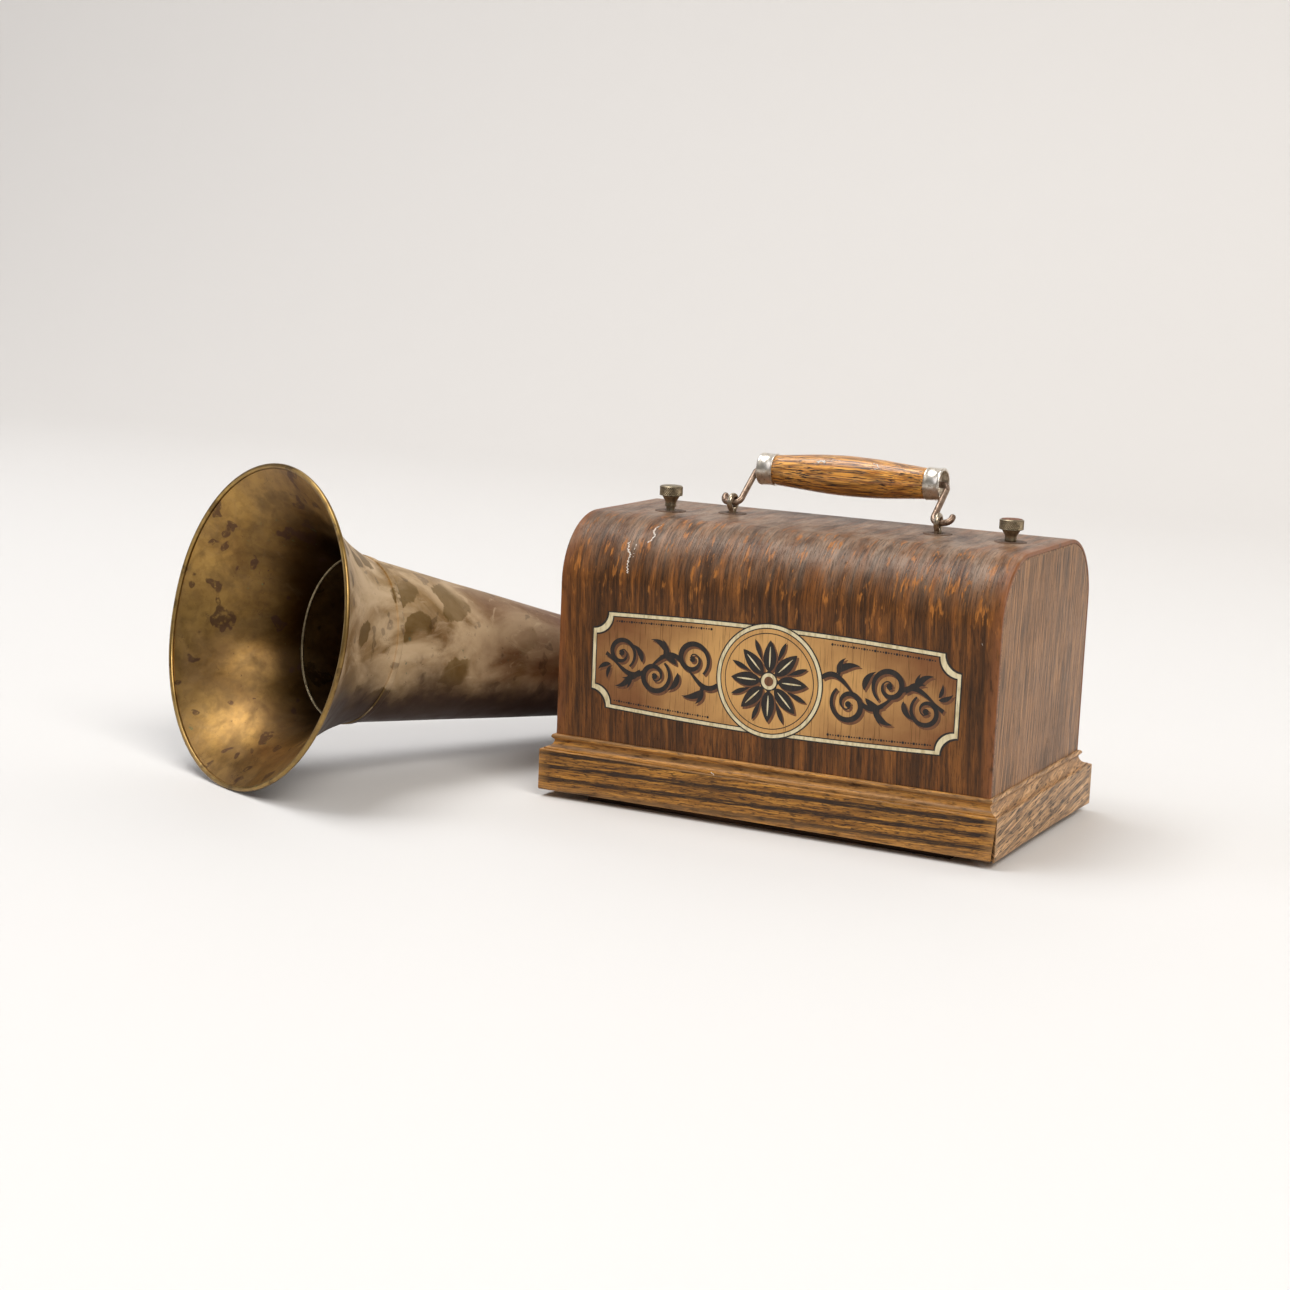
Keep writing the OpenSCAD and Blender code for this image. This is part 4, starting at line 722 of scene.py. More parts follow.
# Bent and hand-varnished veneer: mid brown with orange flecks on the bends, and a pale painted sheen on its
# top and bends.
VENEER = BentOak("bent_oak_veneer_old_varnish", Grain.UV_V, "#7e4c22", "#5a3719", "#3a2412", "#1c110a",
                 "#aa6c32", tone_mm=(2.6, 60), patch_mm=(13, 100), patch_share=0.65, streak_mm=(0.9, 14),
                 streak_share=0.42, fleck_mm=(2.5, 12), fleck_share=0.85, slant_deg=2.5, roughness=0.4,
                 gloss=0.2, coat=0.08, worn="#85522f", worn_share=0.9, bloom_and_sheen="#ae9680", bloom_and_sheen_share=0.62)
# Planed and varnished board: paler than the wrap, flat, with long dark pores.
PANEL = Oak("flat_oak_end_panel_old_varnish", Grain.UV_V, "#b08154", "#8f653e", "#61462d", "#2e2016",
            "#bb885a", tone_mm=(1.9, 60), patch_mm=(14, 120), patch_share=0.5, streak_mm=(1.0, 26),
            streak_share=0.68, fleck_share=0.25, slant_deg=-3, roughness=0.46, coat=0.1, worn="#5a3f2c",
            bloom_and_sheen="#9a8472", bloom_and_sheen_share=0.15)
# Moulded and varnished golden: broad growth rings run along the board; its pale worn colour also paints a
# sheen over the whole moulding.
PLINTH_FRONT = Oak("golden_oak_plinth_old_varnish", Grain.UV_U, "#c68c3c", "#966428", "#5e3d1b", "#241710",
                   "#d09040", tone_mm=(1.4, 34), patch_mm=(8, 70), patch_share=0.4, ring_mm=(7.2, 260),
                   ring_share=0.95, ring_wander=1.1, streak_mm=(0.8, 6), streak_share=0.75, fleck_share=0.25,
                   slant_deg=1.5, roughness=0.42, coat=0.12, worn="#d8a060")
# The same wood on the end boards, made paler and greyer, partly as painted light of the brightly lit right
# end, with its rings running slantwise; its worn colour also paints a sheen over the moulding.
PLINTH_SIDE = Oak("golden_oak_plinth_end_old_varnish", Grain.UV_U, "#e8bd8c", "#c49664", "#866342", "#352619",
                  "#e2b27a", tone_mm=(1.6, 32), patch_mm=(9, 60), patch_share=0.4, ring_mm=(7.0, 60),
                  ring_share=0.6, ring_wander=2.0, streak_mm=(1.0, 9), streak_share=0.95, fleck_share=0.2,
                  slant_deg=9, roughness=0.46, coat=0.1, worn="#c89c70", bloom_and_sheen="#b8a494", bloom_and_sheen_share=0.12)
# Turned and polished by hands: bright yellow wood with sharp black pores and a wet gleam.
GRIP_OAK = Oak("turned_oak_glossy_varnish", Grain.X, "#f4b456", "#dc9640", "#965822", "#241309", "#f6bc66",
               tone_mm=(1.1, 40), patch_mm=(6, 60), patch_share=0.4, ring_mm=(2.0, 60), ring_share=0.45,
               ring_wander=1.6, streak_mm=(0.6, 20), streak_share=1.0, fleck_share=0.4, roughness=0.3,
               gloss=0.5, coat=0.4, grime="#5a3413")
# Bare sawn boards: dry and dull, the one that stands out at the foot much darker.
BOTTOM_WOOD = Oak("unvarnished_bottom_board", Grain.X, "#5a4232", "#463226", "#2c201a", "#18110d", "#6a5040",
                  roughness=0.8, coat=0.0)
INNER_WOOD = Oak("unvarnished_inner_board", Grain.X, "#a98560", "#8f6c4a", "#6c4e34", "#4a3524", "#b8946c",
                 roughness=0.75, coat=0.0)
# Spun brass: the inside of the bell stays smooth and warm near its rim and darkens inwards, brown tarnish
# together with painted shade of the deep bell.
BELL_INSIDE = OldBrass("spun_brass_bell_inside", "#ac874b", "#7f5e36", "#5e462c", "#46302b", "#55694a",
                       "#8f8168", 0.5, 0.1, 0.34, spots=0.9, far="#3d2912", far_mm=(14, 62))
# Its outside: a milky haze with crisp oval drop marks, and its downward faces painted nearly black as shade.
HORN_OUTSIDE = OldBrass("hazed_brass_horn_outside", "#ab8c5c", "#8f6f42", "#6f5527", "#3c2a1d", "#5f7058",
                        "#c9b08e", 0.3, 0.9, 0.44, metallic=0.75, stain_mm=30, spots=0.5, ovals=0.9,
                        underside_shade=0.97, far="#7a5240")
# Rolled sheet that nobody polishes: brown and blotched.
THROAT_INSIDE = OldBrass("sheet_brass_throat_inside", "#a08050", "#6a4e30", "#54402a", "#1d1510", "#3f4a30",
                         "#54483a", 0.6, 0.12, 0.4, ovals=0.5)
# Sheet rolled over a wire: a thin warm highlight all round the mouth.
RIM_BRASS = OldBrass("rolled_brass_rim", "#a98a50", "#7f643a", "#6c5234", "#4a3826", "#5f7048", "#a8946c",
                     0.45, 0.1, 0.3)
# Run in with an iron: a grey, dull, uneven line.
SOLDER = Metal("old_soft_solder", "#93866c", "#766a52", "#5a4e3c", 0.5, 0.45, 3.0)
# Drawn and plated: a clear white mirror with small worn patches.
NICKEL = Metal("worn_nickel_plate", "#e4ddd2", "#c6bdb0", "#83786a", 0.35, 0.33, 3.0, 0.002)
# Drawn wires: one pitted by brown rust, one dull under its old plating.
RUSTY_WIRE = Metal("rusted_iron_wire", "#a08a78", "#816a5a", "#5c4636", 0.5, 0.38, 3.5, 0.04, 0.85)
EYE_WIRE = Metal("dull_nickel_wire", "#b3a591", "#94866f", "#5f5040", 0.35, 0.3, 3.0, 0.02)
# Turned and knurled brass: dark in the grooves, with a rough red spot of rust, on a dark brown washer.
SCREW_BRASS = Metal("tarnished_brass_knurled", "#998c74", "#7d7360", "#4c4232", 0.3, 0.4, 3.0, 0.01)
RUST_SPOT = Metal("rust_on_screw_head", "#84503a", "#8a6a50", "#5a2f1c", 0.8, 0.55, 2.0, 0.04, 0.4)
WASHER_BRASS = Metal("dark_thin_washer", "#6c5443", "#574435", "#382a20", 0.6, 0.6, 3.0, 0.03, 0.2)
# Cast iron under baked black varnish: nearly black with a soft orange-peel gleam.
IRON = Plain("japanned_cast_iron", "#1c1917", "#2c2723", 0.42, 9.0, 0.08)
# Turned steel and lacquered or freshly cut brass of the works: clean, bright, hardly worn.
STEEL = Metal("turned_bright_steel", "#b9b7b2", "#9d9a94", "#6a6258", 0.15, 0.28, 6.0, 0.01)
PLATE_BRASS = Metal("lacquered_plate_brass", "#c9a65c", "#b08c48", "#7c6238", 0.3, 0.3, 14.0, 0.01)
WHEEL_BRASS = Metal("cut_wheel_brass", "#cfae66", "#b8944e", "#836a3e", 0.2, 0.26, 8.0, 0.01)
# Tempered spring steel: slate blue with brown edges of oil.
BLUED = Metal("blued_spring_steel", "#4d5866", "#3c434e", "#59422c", 0.2, 0.3, 12.0, 0.01)
# Oiled leather: brown and matt, with a coarse skin. Split mica: a clouded yellow pane.
LEATHER = Plain("oiled_belt_leather", "#4a3020", "#35221a", 0.62, 4.0, 0.15)
MICA = Plain("split_mica_sheet", "#d9d2bd", "#c2b795", 0.2, 8.0, 0.02, 0.55)
# Printed inks on a bronzed ground: flat colours, finely cracked along the grain.
INK_BLACK = PrintedInk("transfer_black_ink", "#17110d", "#2a1d14")
INK_CREAM = PrintedInk("transfer_cream_ink", "#ddd0ab", "#bfae84")
INK_BROWN = PrintedInk("transfer_brown_ink", "#6f4526", "#59361e")
GOLD = GiltLeaf("transfer_gold_ground", "#d9a868", "#835432", (1, 81), (108, 34))
# Varnish bruised through to its dust: matt chalky white.
SCRAPE = Plain("bruised_white_varnish", "#e3dbd1", "#b09c88", 0.75, 1.5, 0.05)


# Mesh tools

# Radius at which a rounded wire's end, or a turned tip, is closed.
TIP_R = 0.02


@dataclass
class Skin:
    """A mesh under construction, in millimetres."""

    verts: list[Vector] = field(default_factory=list)
    faces: list[tuple[int, ...]] = field(default_factory=list)
    corners: list[list[Pair]] = field(default_factory=list)
    marks: list[int] = field(default_factory=list)
    wear: dict[int, float] = field(default_factory=dict)

    def face(self, loop: Sequence[int], uv: Sequence[Pair], mark: int = 0) -> None:
        """Adds one face.

        Args:
            loop: Its vertices.
            uv: Texture place of each corner, in metres.
            mark: Which finish it takes.
        """
        self.faces.append(tuple(loop))
        self.corners.append(list(uv))
        self.marks.append(mark)

    def grid(self, points: Sequence[Sequence[Vector]], us: Sequence[float], vs: Sequence[float],
             close_u: bool = False, close_v: bool = False, mark: int | Callable[[int, int], int] = 0,
             wear: Callable[[int, int], float] | None = None) -> list[list[int]]:
        """Adds a grid of quads.

        Args:
            points: Rows of points, in millimetres.
            us: Texture place along a row, one more than its points if it closes.
            vs: Texture place of each row, one more than the rows if they close.
            close_u: Joins the end of each row to its start.
            close_v: Joins the last row to the first.
            mark: Finish, or a function of row and column that gives it.
            wear: Function of row and column that gives the wear of a point; on the plinth it also marks a
                painted sheen.

        Returns:
            The vertex numbers, in rows.
        """
        start = len(self.verts)
        rows, cols = len(points), len(points[0])
        ids = [[start + i * cols + j for j in range(cols)] for i in range(rows)]
        for i, row in enumerate(points):
            for j, point in enumerate(row):
                self.verts.append(Vector(point))
                if wear:
                    self.wear[ids[i][j]] = wear(i, j)
        for i in range(rows if close_v else rows - 1):
            for j in range(cols if close_u else cols - 1):
                k, m = (i + 1) % rows, (j + 1) % cols
                self.face((ids[i][j], ids[i][m], ids[k][m], ids[k][j]),
                          ((us[j], vs[i]), (us[j + 1], vs[i]), (us[j + 1], vs[i + 1]), (us[j], vs[i + 1])),
                          mark(i, j) if callable(mark) else mark)
        return ids

    def cap(self, loop: Sequence[int], across: int = 0, up: int = 2) -> None:
        """Closes an outline with one flat face.

        Args:
            loop: Its vertices in order.
            across: Axis that the texture's first place is read from.
            up: Axis that its second place is read from.
        """
        self.face(loop, [(self.verts[i][across] * MM, self.verts[i][up] * MM) for i in loop])

    def build(self, name: str, finishes: Sequence[Finish], sharp_deg: float = 38.0,
              matrix: Matrix | None = None) -> bpy.types.Object:
        """Makes the Blender object.

        Args:
            name: Its name.
            finishes: The finishes that the marks count.
            sharp_deg: Edges that turn more than this stay crisp.
            matrix: Placing of the mesh, in millimetres.

        Returns:
            The object, linked to the scene.
        """
        mesh = bpy.data.meshes.new(name)
        place = matrix or Matrix.Identity(4)
        mesh.from_pydata([(place @ v) * MM for v in self.verts], [], self.faces)
        layer = mesh.uv_layers.new(name="UVMap")
        flat = [value for uv in self.corners for pair in uv for value in pair]
        layer.data.foreach_set("uv", flat)
        mesh.polygons.foreach_set("material_index", self.marks)
        attribute = mesh.attributes.new("wear", "FLOAT", "POINT")
        attribute.data.foreach_set("value", [self.wear.get(i, 0.0) for i in range(len(self.verts))])
        work = bmesh.new()
        work.from_mesh(mesh)
        bmesh.ops.recalc_face_normals(work, faces=work.faces)
        work.to_mesh(mesh)
        work.free()
        mesh.shade_smooth()
        mesh.set_sharp_from_angle(angle=math.radians(sharp_deg))
        for finish in finishes:
            mesh.materials.append(finish.material())
        return put(name, mesh)


def put(name: str, data: bpy.types.ID) -> bpy.types.Object:
    """Makes an object of a mesh, a light or a camera and links it to the scene.

    Args:
        name: Its name.
        data: What it holds.

    Returns:
        The object.
    """
    made = bpy.data.objects.new(name, data)
    bpy.context.scene.collection.objects.link(made)
    return made


def seat(piece: bpy.types.Object, body: str, slot: str, *nodes: str) -> None:
    """Fastens a piece to its body and says what it stands for.

    Args:
        piece: The piece, in place.
        body: The body that it moves with.
        slot: The record's material slot; not used.
        nodes: The solids that it replaces.
    """
    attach(piece, body)
    if nodes:
        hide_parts(*nodes)
    LOG.info("%s rides on %s, replaces %s", piece.name, body, ", ".join(nodes) or "nothing")


def lathe(skin: Skin, profile: Sequence[Pair], segments: int, closed: bool = False,
          warp: Callable[[float, float, float], float] | None = None,
          mark: int | Callable[[int, int], int] = 0) -> None:
    """Turns a profile of (radius, height) round the Z axis into a skin.

    Args:
        skin: The mesh to add to.
        profile: Points of (radius, height) in millimetres.
        segments: Number of steps round.
        closed: Joins the profile's end to its start.
        warp: Gives a point's radius from its radius, height and angle.
        mark: Finish, or a function of row and column that gives it.
    """
    angles = [2 * math.pi * j / segments for j in range(segments)]
    rows, lengths, run = [], [0.0], 0.0
    for i, (radius, height) in enumerate(profile):
        row = []
        for angle in angles:
            r = warp(radius, height, angle) if warp else radius
            row.append(Vector((r * math.cos(angle), r * math.sin(angle), height)))
        rows.append(row)
        following = profile[(i + 1) % len(profile)]
        run += math.dist((radius, height), following)
        lengths.append(run * MM)
    wide = max(radius for radius, _ in profile)
    us = [2 * math.pi * wide * MM * j / segments for j in range(segments + 1)]
    skin.grid(rows, us, lengths if closed else lengths[:len(rows)], close_u=True, close_v=closed, mark=mark)


def tube(skin: Skin, path: Sequence[Vector], radius: float | Callable[[float], float], sides: int) -> None:
    """Sweeps a round wire with domed ends along a path.

    Args:
        skin: The mesh to add to.
        path: Points of its centre line in millimetres.
        radius: The wire's radius, or a function of the share of its length.
        sides: Number of sides.
    """
    points = [Vector(p) for p in path]
    rings: list[tuple[Vector, Vector, float]] = []
    count = len(points)
    for i, point in enumerate(points):
        before, after = points[max(i - 1, 0)], points[min(i + 1, count - 1)]
        size = radius(i / (count - 1)) if callable(radius) else radius
        rings.append((point, (after - before).normalized(), size))
    first, last = rings[0], rings[-1]
    dome = [(math.sin(k * math.pi / 10), math.cos(k * math.pi / 10)) for k in range(1, 6)]
    head = [(first[0] - first[1] * first[2] * s, first[1], max(first[2] * c, TIP_R)) for s, c in dome[::-1]]
    tail = [(last[0] + last[1] * last[2] * s, last[1], max(last[2] * c, TIP_R)) for s, c in dome]
    rings = head + rings + tail
    side = rings[0][1].orthogonal().normalized()
    rows, run, vs = [], 0.0, []
    for i, (point, along, size) in enumerate(rings):
        side = (side - along * side.dot(along)).normalized()
        other = along.cross(side)
        turns = [2 * math.pi * k / sides for k in range(sides)]
        rows.append([point + size * (math.cos(turn) * side + math.sin(turn) * other) for turn in turns])
        if i:
            run += (point - rings[i - 1][0]).length * MM
        vs.append(run)
    ids = skin.grid(rows, [0.01 * k / sides for k in range(sides + 1)], vs, close_u=True)
    skin.cap(ids[0][::-1])
    skin.cap(ids[-1])


def arc(centre: Pair, radius: float, start_deg: float, end_deg: float, steps: int) -> list[Pair]:
    """Points on an arc.

    Args:
        centre: Its centre.
        radius: Its radius.
        start_deg: Angle of its first point.
        end_deg: Angle of its last point.
        steps: Number of steps between them.

    Returns:
        The points.
    """
    out = []
    for i in range(steps + 1):
        angle = math.radians(start_deg + (end_deg - start_deg) * i / steps)
        out.append((centre[0] + radius * math.cos(angle), centre[1] + radius * math.sin(angle)))
    return out


# Sub-assemblies

# What cover and handle share: where the eyes stand on the cover's top, and how thick it is there.
EYE_X, EYE_Y = 61.3, 4.5
COVER_T = 5.0


@dataclass
class CoverShape:
    """The D-shaped outline of the cover seen from its end, and what is laid out from it."""

    half_l: float = 126.9
    half_d: float = 72.15
    foot_z: float = 35.2
    height: float = 122.1
    radius: float = 37.0
    side_steps: int = 10
    bend_steps: int = 28
    top_steps: int = 8

    @property
    def top_z(self) -> float:
        """Height of the cover's top above the ground."""
        return self.foot_z + self.height

    def outline(self, inset: float) -> list[Triple]:
        """Walks the outline from its front foot over the top to its back foot.

        Args:
            inset: How far inside the outer face it runs.

        Returns:
            Points of (y, z, length walked on the outer face).
        """
        r, yc, zc = self.radius, self.half_d - self.radius, self.foot_z + self.height - self.radius
        side, bend, top = zc - self.foot_z, math.pi / 2 * r, 2 * yc
        steps, bends, tops = self.side_steps, self.bend_steps, self.top_steps
        foot = self.half_d - inset
        out = [(-foot, self.foot_z + side * i / steps, side * i / steps) for i in range(steps)]
        out += [(y, z, side + bend * i / bends)
                for i, (y, z) in enumerate(arc((-yc, zc), r - inset, 180, 90, bends))]
        out += [(-yc + top * i / tops, self.top_z - inset, side + bend + top * i / tops)
                for i in range(1, tops)]
        out += [(y, z, side + bend + top + bend * i / bends)
                for i, (y, z) in enumerate(arc((yc, zc), r - inset, 90, 0, bends))]
        out += [(foot, zc - side * i / steps, side + 2 * bend + top + side * i / steps)
                for i in range(1, steps + 1)]
        return out

    def at(self, walk: float) -> tuple[Vector, Vector]:
        """Finds a point of the front face or the front bend.

        Args:
            walk: Length walked from the front foot.

        Returns:
            The point at x 0, and the direction that the face looks there.
        """
        r, yc, zc = self.radius, self.half_d - self.radius, self.foot_z + self.height - self.radius
        side = zc - self.foot_z
        angle = max(0.0, walk - side) / r
        out = Vector((0, -math.cos(angle), math.sin(angle)))
        return Vector((0, -yc, zc + min(0.0, walk - side))) + out * r, out


@dataclass
class Cover:
    """The cover: a bent, veneered wrap with two end panels let into it, and thin washers on its top."""

    shape: CoverShape = field(default_factory=CoverShape)
    wrap_t: float = COVER_T
    lap_t: float = 2.0
    lap: float = 3.0
    end_t: float = 8.0
    arris: float = 0.9
    washer_t: float = 0.6
    screws: tuple[Pair, Pair] = ((-92.4, -11.2), (103.6, 1.3))
    screw_washer: Pair = (8.75, 2.6)
    eye_washer: Pair = (8.0, 3.1)

    def build(self) -> None:
        """Builds and seats every piece of the cover."""
        self.wrap()
        self.panel("end_panel_left", -1, "cover_end_left")
        self.panel("end_panel_right", 1, "cover_end_right")
        self.washers()

    def wrap(self) -> None:
        """Bends the wrap: a thin section swept over the outline, its long arrises softened by wear."""
        x, a = self.shape.half_l, self.arris
        inner = [(x, self.lap_t), (x - self.lap, self.lap_t), (x - self.lap, self.wrap_t)]
        turns = [t * math.pi / 10 for t in range(6)]
        rounding = [(x - a + a * math.sin(turn), a - a * math.cos(turn)) for turn in turns]
        spans = [-x + a + (2 * x - 2 * a) * i / 40 for i in range(1, 40)]
        section = [(-px, pi) for px, pi in reversed(rounding)] + [(s, 0.0) for s in spans] + rounding + inner
        section += [(-px, pi) for px, pi in reversed(inner)]
        worn = {i for i, (px, inset) in enumerate(section)
                if abs(px) > x - 2 * a and inset < self.lap_t + 0.1}
        columns = [self.shape.outline(inset) for _, inset in section]
        rows = [[Vector((px, column[k][0], column[k][1])) for (px, _), column in zip(section, columns)]
                for k in range(len(columns[0]))]
        us = [px * MM for px, _ in section] + [section[0][0] * MM]
        vs = [columns[0][k][2] * MM for k in range(len(rows))]
        skin = Skin()
        ids = skin.grid(rows, us, vs, close_u=True, wear=lambda i, j: 1.0 if j in worn else 0.0)
        skin.cap(ids[0][::-1], 0, 1)
        skin.cap(ids[-1], 0, 1)
        seat(skin.build("bent_veneer_wrap", [VENEER]), "cover", "oak_cover", "cover_wrap")

    def panel(self, name: str, side: int, node: str) -> None:
        """Cuts an end panel with a step that fits the wrap's lap.

        Args:
            name: Name of the piece.
            side: 1 on the right, -1 on the left.
            node: The solid that it replaces.
        """
        x = self.shape.half_l
        lap_t = self.lap_t
        loops = [(x - self.end_t, self.wrap_t), (x - self.lap, self.wrap_t), (x - self.lap, lap_t + 0.12),
                 (x - 0.4, lap_t + 0.12), (x - 0.1, lap_t + 0.4), (x - 0.05, lap_t + 1.2)]
        rows = [[Vector((side * px, y, z)) for y, z, _ in self.shape.outline(inset)] for px, inset in loops]
        length = [point[2] * MM for point in self.shape.outline(0)]
        skin = Skin()
        ids = skin.grid(rows, length, [0, 0.001, 0.002, 0.003, 0.004, 0.005],
                        wear=lambda i, j: 0.6 if i == 3 else 0.0)
        skin.cap(ids[0], 1, 2)
        skin.cap(ids[-1][::-1], 1, 2)
        for end in (0, -1):
            skin.cap([row[end] for row in ids], 0, 1)
        seat(skin.build(name, [PANEL], 25), "cover", "oak_end", node)

    def washers(self) -> None:
        """Lays thin dark brown washers under the screws and the eyes."""
        skin = Skin()
        t = self.washer_t * 0.6
        top = self.shape.top_z
        places = [(*place, *self.screw_washer) for place in self.screws]
        places += [(side * EYE_X, EYE_Y, *self.eye_washer) for side in (-1, 1)]
        for px, py, r, hole in places:
            part = Skin()
            lathe(part, [(hole, 0.0), (r, 0.0), (r, t * 0.5), (r - 0.25, t - 0.1), (r - 0.7, t),
                         (hole + 0.3, t - 0.05), (hole, t * 0.6)], 64, closed=True)
            offset = len(skin.verts)
            skin.verts += [v + Vector((px, py, top)) for v in part.verts]
            for loop, uv in zip(part.faces, part.corners):
                skin.face([i + offset for i in loop], uv)
        seat(skin.build("top_washers", [WASHER_BRASS]), "cover", "washer_metal", "cover_washers")


@dataclass
class Handle:
    """The carrying handle: a turned grip with nickel ferrules on a wire bail that swings in two wire eyes."""

    pivot: Pair = (EYE_Y, 163.4)
    shape: CoverShape = field(default_factory=CoverShape)
    lean_deg: float = 51.7
    arm: float = 29.0
    wire_r: float = 1.8
    bend: float = 4.0
    grip_half: float = 45.4
    grip_mid: float = 11.45
    grip_end: float = 8.7
    ferrule_r: float = 9.1
    ferrule_l: float = 9.5
    cup: float = 5.0
    bore: float = 1.85
    eye_r: float = 1.5
    eye_major: float = 3.9
    tip: float = 6.5
    leg_bend: float = 1.5

    @property
    def lean(self) -> Matrix:
        """Leans what is made upright over the pivot back to rest."""
        return (Matrix.Translation((0, self.pivot[0], self.pivot[1]))
                @ Matrix.Rotation(math.radians(-self.lean_deg), 4, "X"))

    @property
    def along(self) -> Matrix:
        """Lays a lathe's Z axis along the grip."""
        return self.lean @ Matrix.Translation((0, 0, self.arm)) @ Matrix.Rotation(math.radians(90), 4, "Y")

    def build(self) -> None:
        """Builds and seats every piece of the handle."""
        self.grip()
        self.ferrules()
        self.bail()
        self.eyes()

    def radius_at(self, x: float) -> float:
        """Gives the grip's radius at a distance from its middle."""
        swell = max(0.0, math.cos(x / self.grip_half * math.pi / 2)) ** 1.15
        return self.grip_end + (self.grip_mid - self.grip_end) * swell

    def grip(self) -> None:
        """Turns the grip, with its bore for the wire."""
        places = [self.grip_half * (i / 30 - 1) for i in range(61)]
        profile = [(self.radius_at(place), place) for place in places]
        profile[0] = (self.grip_end - 0.3, -self.grip_half)
        profile[-1] = (self.grip_end - 0.3, self.grip_half)
        profile += [(self.bore, self.grip_half), (self.bore, -self.grip_half)]

        def worn(r: float, h: float, a: float) -> float:
            """Takes the last touch of roundness off by handling.

            Args:
                r: A point's radius.
                h: Its distance from the grip's middle.
                a: Its angle round the grip.

            Returns:
                The radius that it has now.
            """
            if r < self.grip_end / 2:
                return r
            return r - 0.12 * (1 + math.sin(3 * a + h / 17)) - 0.1 * (1 + noise.noise((h / 14, a * 2, 3.0)))

        skin = Skin()
        lathe(skin, profile, 96, closed=True, warp=worn)
        seat(skin.build("turned_grip", [GRIP_OAK], matrix=self.along), "grip", "grip_wood", "handle_grip")

    def ferrules(self) -> None:
        """Draws the two ferrules: thin cups with a rolled lip, open at their outer ends."""
        skin = Skin()
        r, length = self.ferrule_r, self.ferrule_l
        for side in (-1, 1):
            floor = length - self.cup
            profile = [(self.bore, 0), (r - 0.25, 0), (r, 0.25), (r, 1.0), (r - 0.2, 1.3),
                       (r - 0.2, length - 1.9), (r, length - 1.6)]
            profile += arc((r - 0.7, length - 0.7), 0.7, 0, 180, 8)
            profile += [(r - 1.4, length - 1.5), (r - 1.5, floor + 0.5), (r - 2.2, floor), (self.bore, floor)]
            lathe(skin, [(pr, side * (self.grip_half + ph)) for pr, ph in profile], 80, closed=True)
        seat(skin.build("nickel_ferrules", [NICKEL], matrix=self.along), "grip", "ferrule_nickel",
             "handle_ferrules")

    def bail(self) -> None:
        """Bends the bail: through the grip, down both arms, through the eyes and up into two short hooks."""
        arm_x = self.grip_half + self.ferrule_l + self.wire_r + 0.8
        tip_x = EYE_X + self.eye_r + self.bend + 1
        b = self.bend
        half: list[Pair] = [(0, self.arm), (20, self.arm), (40, self.arm)]
        half += arc((arm_x - b, self.arm - b), b, 90, 0, 8)
        half += [(arm_x, self.arm - b - 5), (arm_x, b + 5)]
        half += arc((arm_x + b, b), b, 180, 270, 8)
        half += arc((tip_x - b, b), b, 270, 360, 8)
        half += [(tip_x, self.tip - self.wire_r * 0.9)]
        path = [Vector((-x, 0, z)) for x, z in reversed(half[1:])] + [Vector((x, 0, z)) for x, z in half]
        path = smooth_path(path, 1.2)
        skin = Skin()
        tube(skin, path, lambda t: self.wire_r * (0.985 - 0.03 * noise.noise((t * 90, 4.0, 1.0))), 28)
        seat(skin.build("bent_wire_bail", [RUSTY_WIRE], 60, self.lean), "bail", "bail_iron", "handle_bail")

    def eyes(self) -> None:
        """Bends the two eyes: a loop whose legs go through the cover and are turned out under it."""
        skin = Skin()
        leg = self.eye_r + 0.1
        major = self.eye_major
        for side in (-1, 1):
            centre = Vector((side * EYE_X, self.pivot[0], self.pivot[1]))
            top = self.shape.top_z - self.pivot[1]
            under = top - COVER_T - 1.6
            start = math.asin(leg / major)
            legs = [(leg + 5, under), (leg + self.leg_bend, under), (leg, under + self.leg_bend),
                    (leg, top - 1), (leg, -major * math.cos(start) - 0.4)]
            path = [Vector((0, -y, z)) for y, z in legs]
            steps = 36
            for i in range(1, steps):
                t = start + (2 * math.pi - 2 * start) * i / steps
                path.append(Vector((0.25 * side * math.sin(t), -major * math.sin(t), -major * math.cos(t))))
            path += [Vector((0, y, z)) for y, z in reversed(legs)]
            tube(skin, [centre + p for p in path], self.eye_r, 20)
        seat(skin.build("wire_eyes", [EYE_WIRE], 60), "cover", "eye_metal", "handle_eyes")


def smooth_path(path: Sequence[Vector], step: float) -> list[Vector]:
    """Puts points on a path no further apart than a step, so that a wire along it can be uneven.

    Args:
        path: The path's corners.
        step: Greatest distance between two points.

    Returns:
        The closer points.
    """
    out = [path[0]]
    for a, b in zip(path, path[1:]):
        count = max(1, math.ceil((b - a).length / step))
        out += [a.lerp(b, i / count) for i in range(1, count + 1)]
    return out


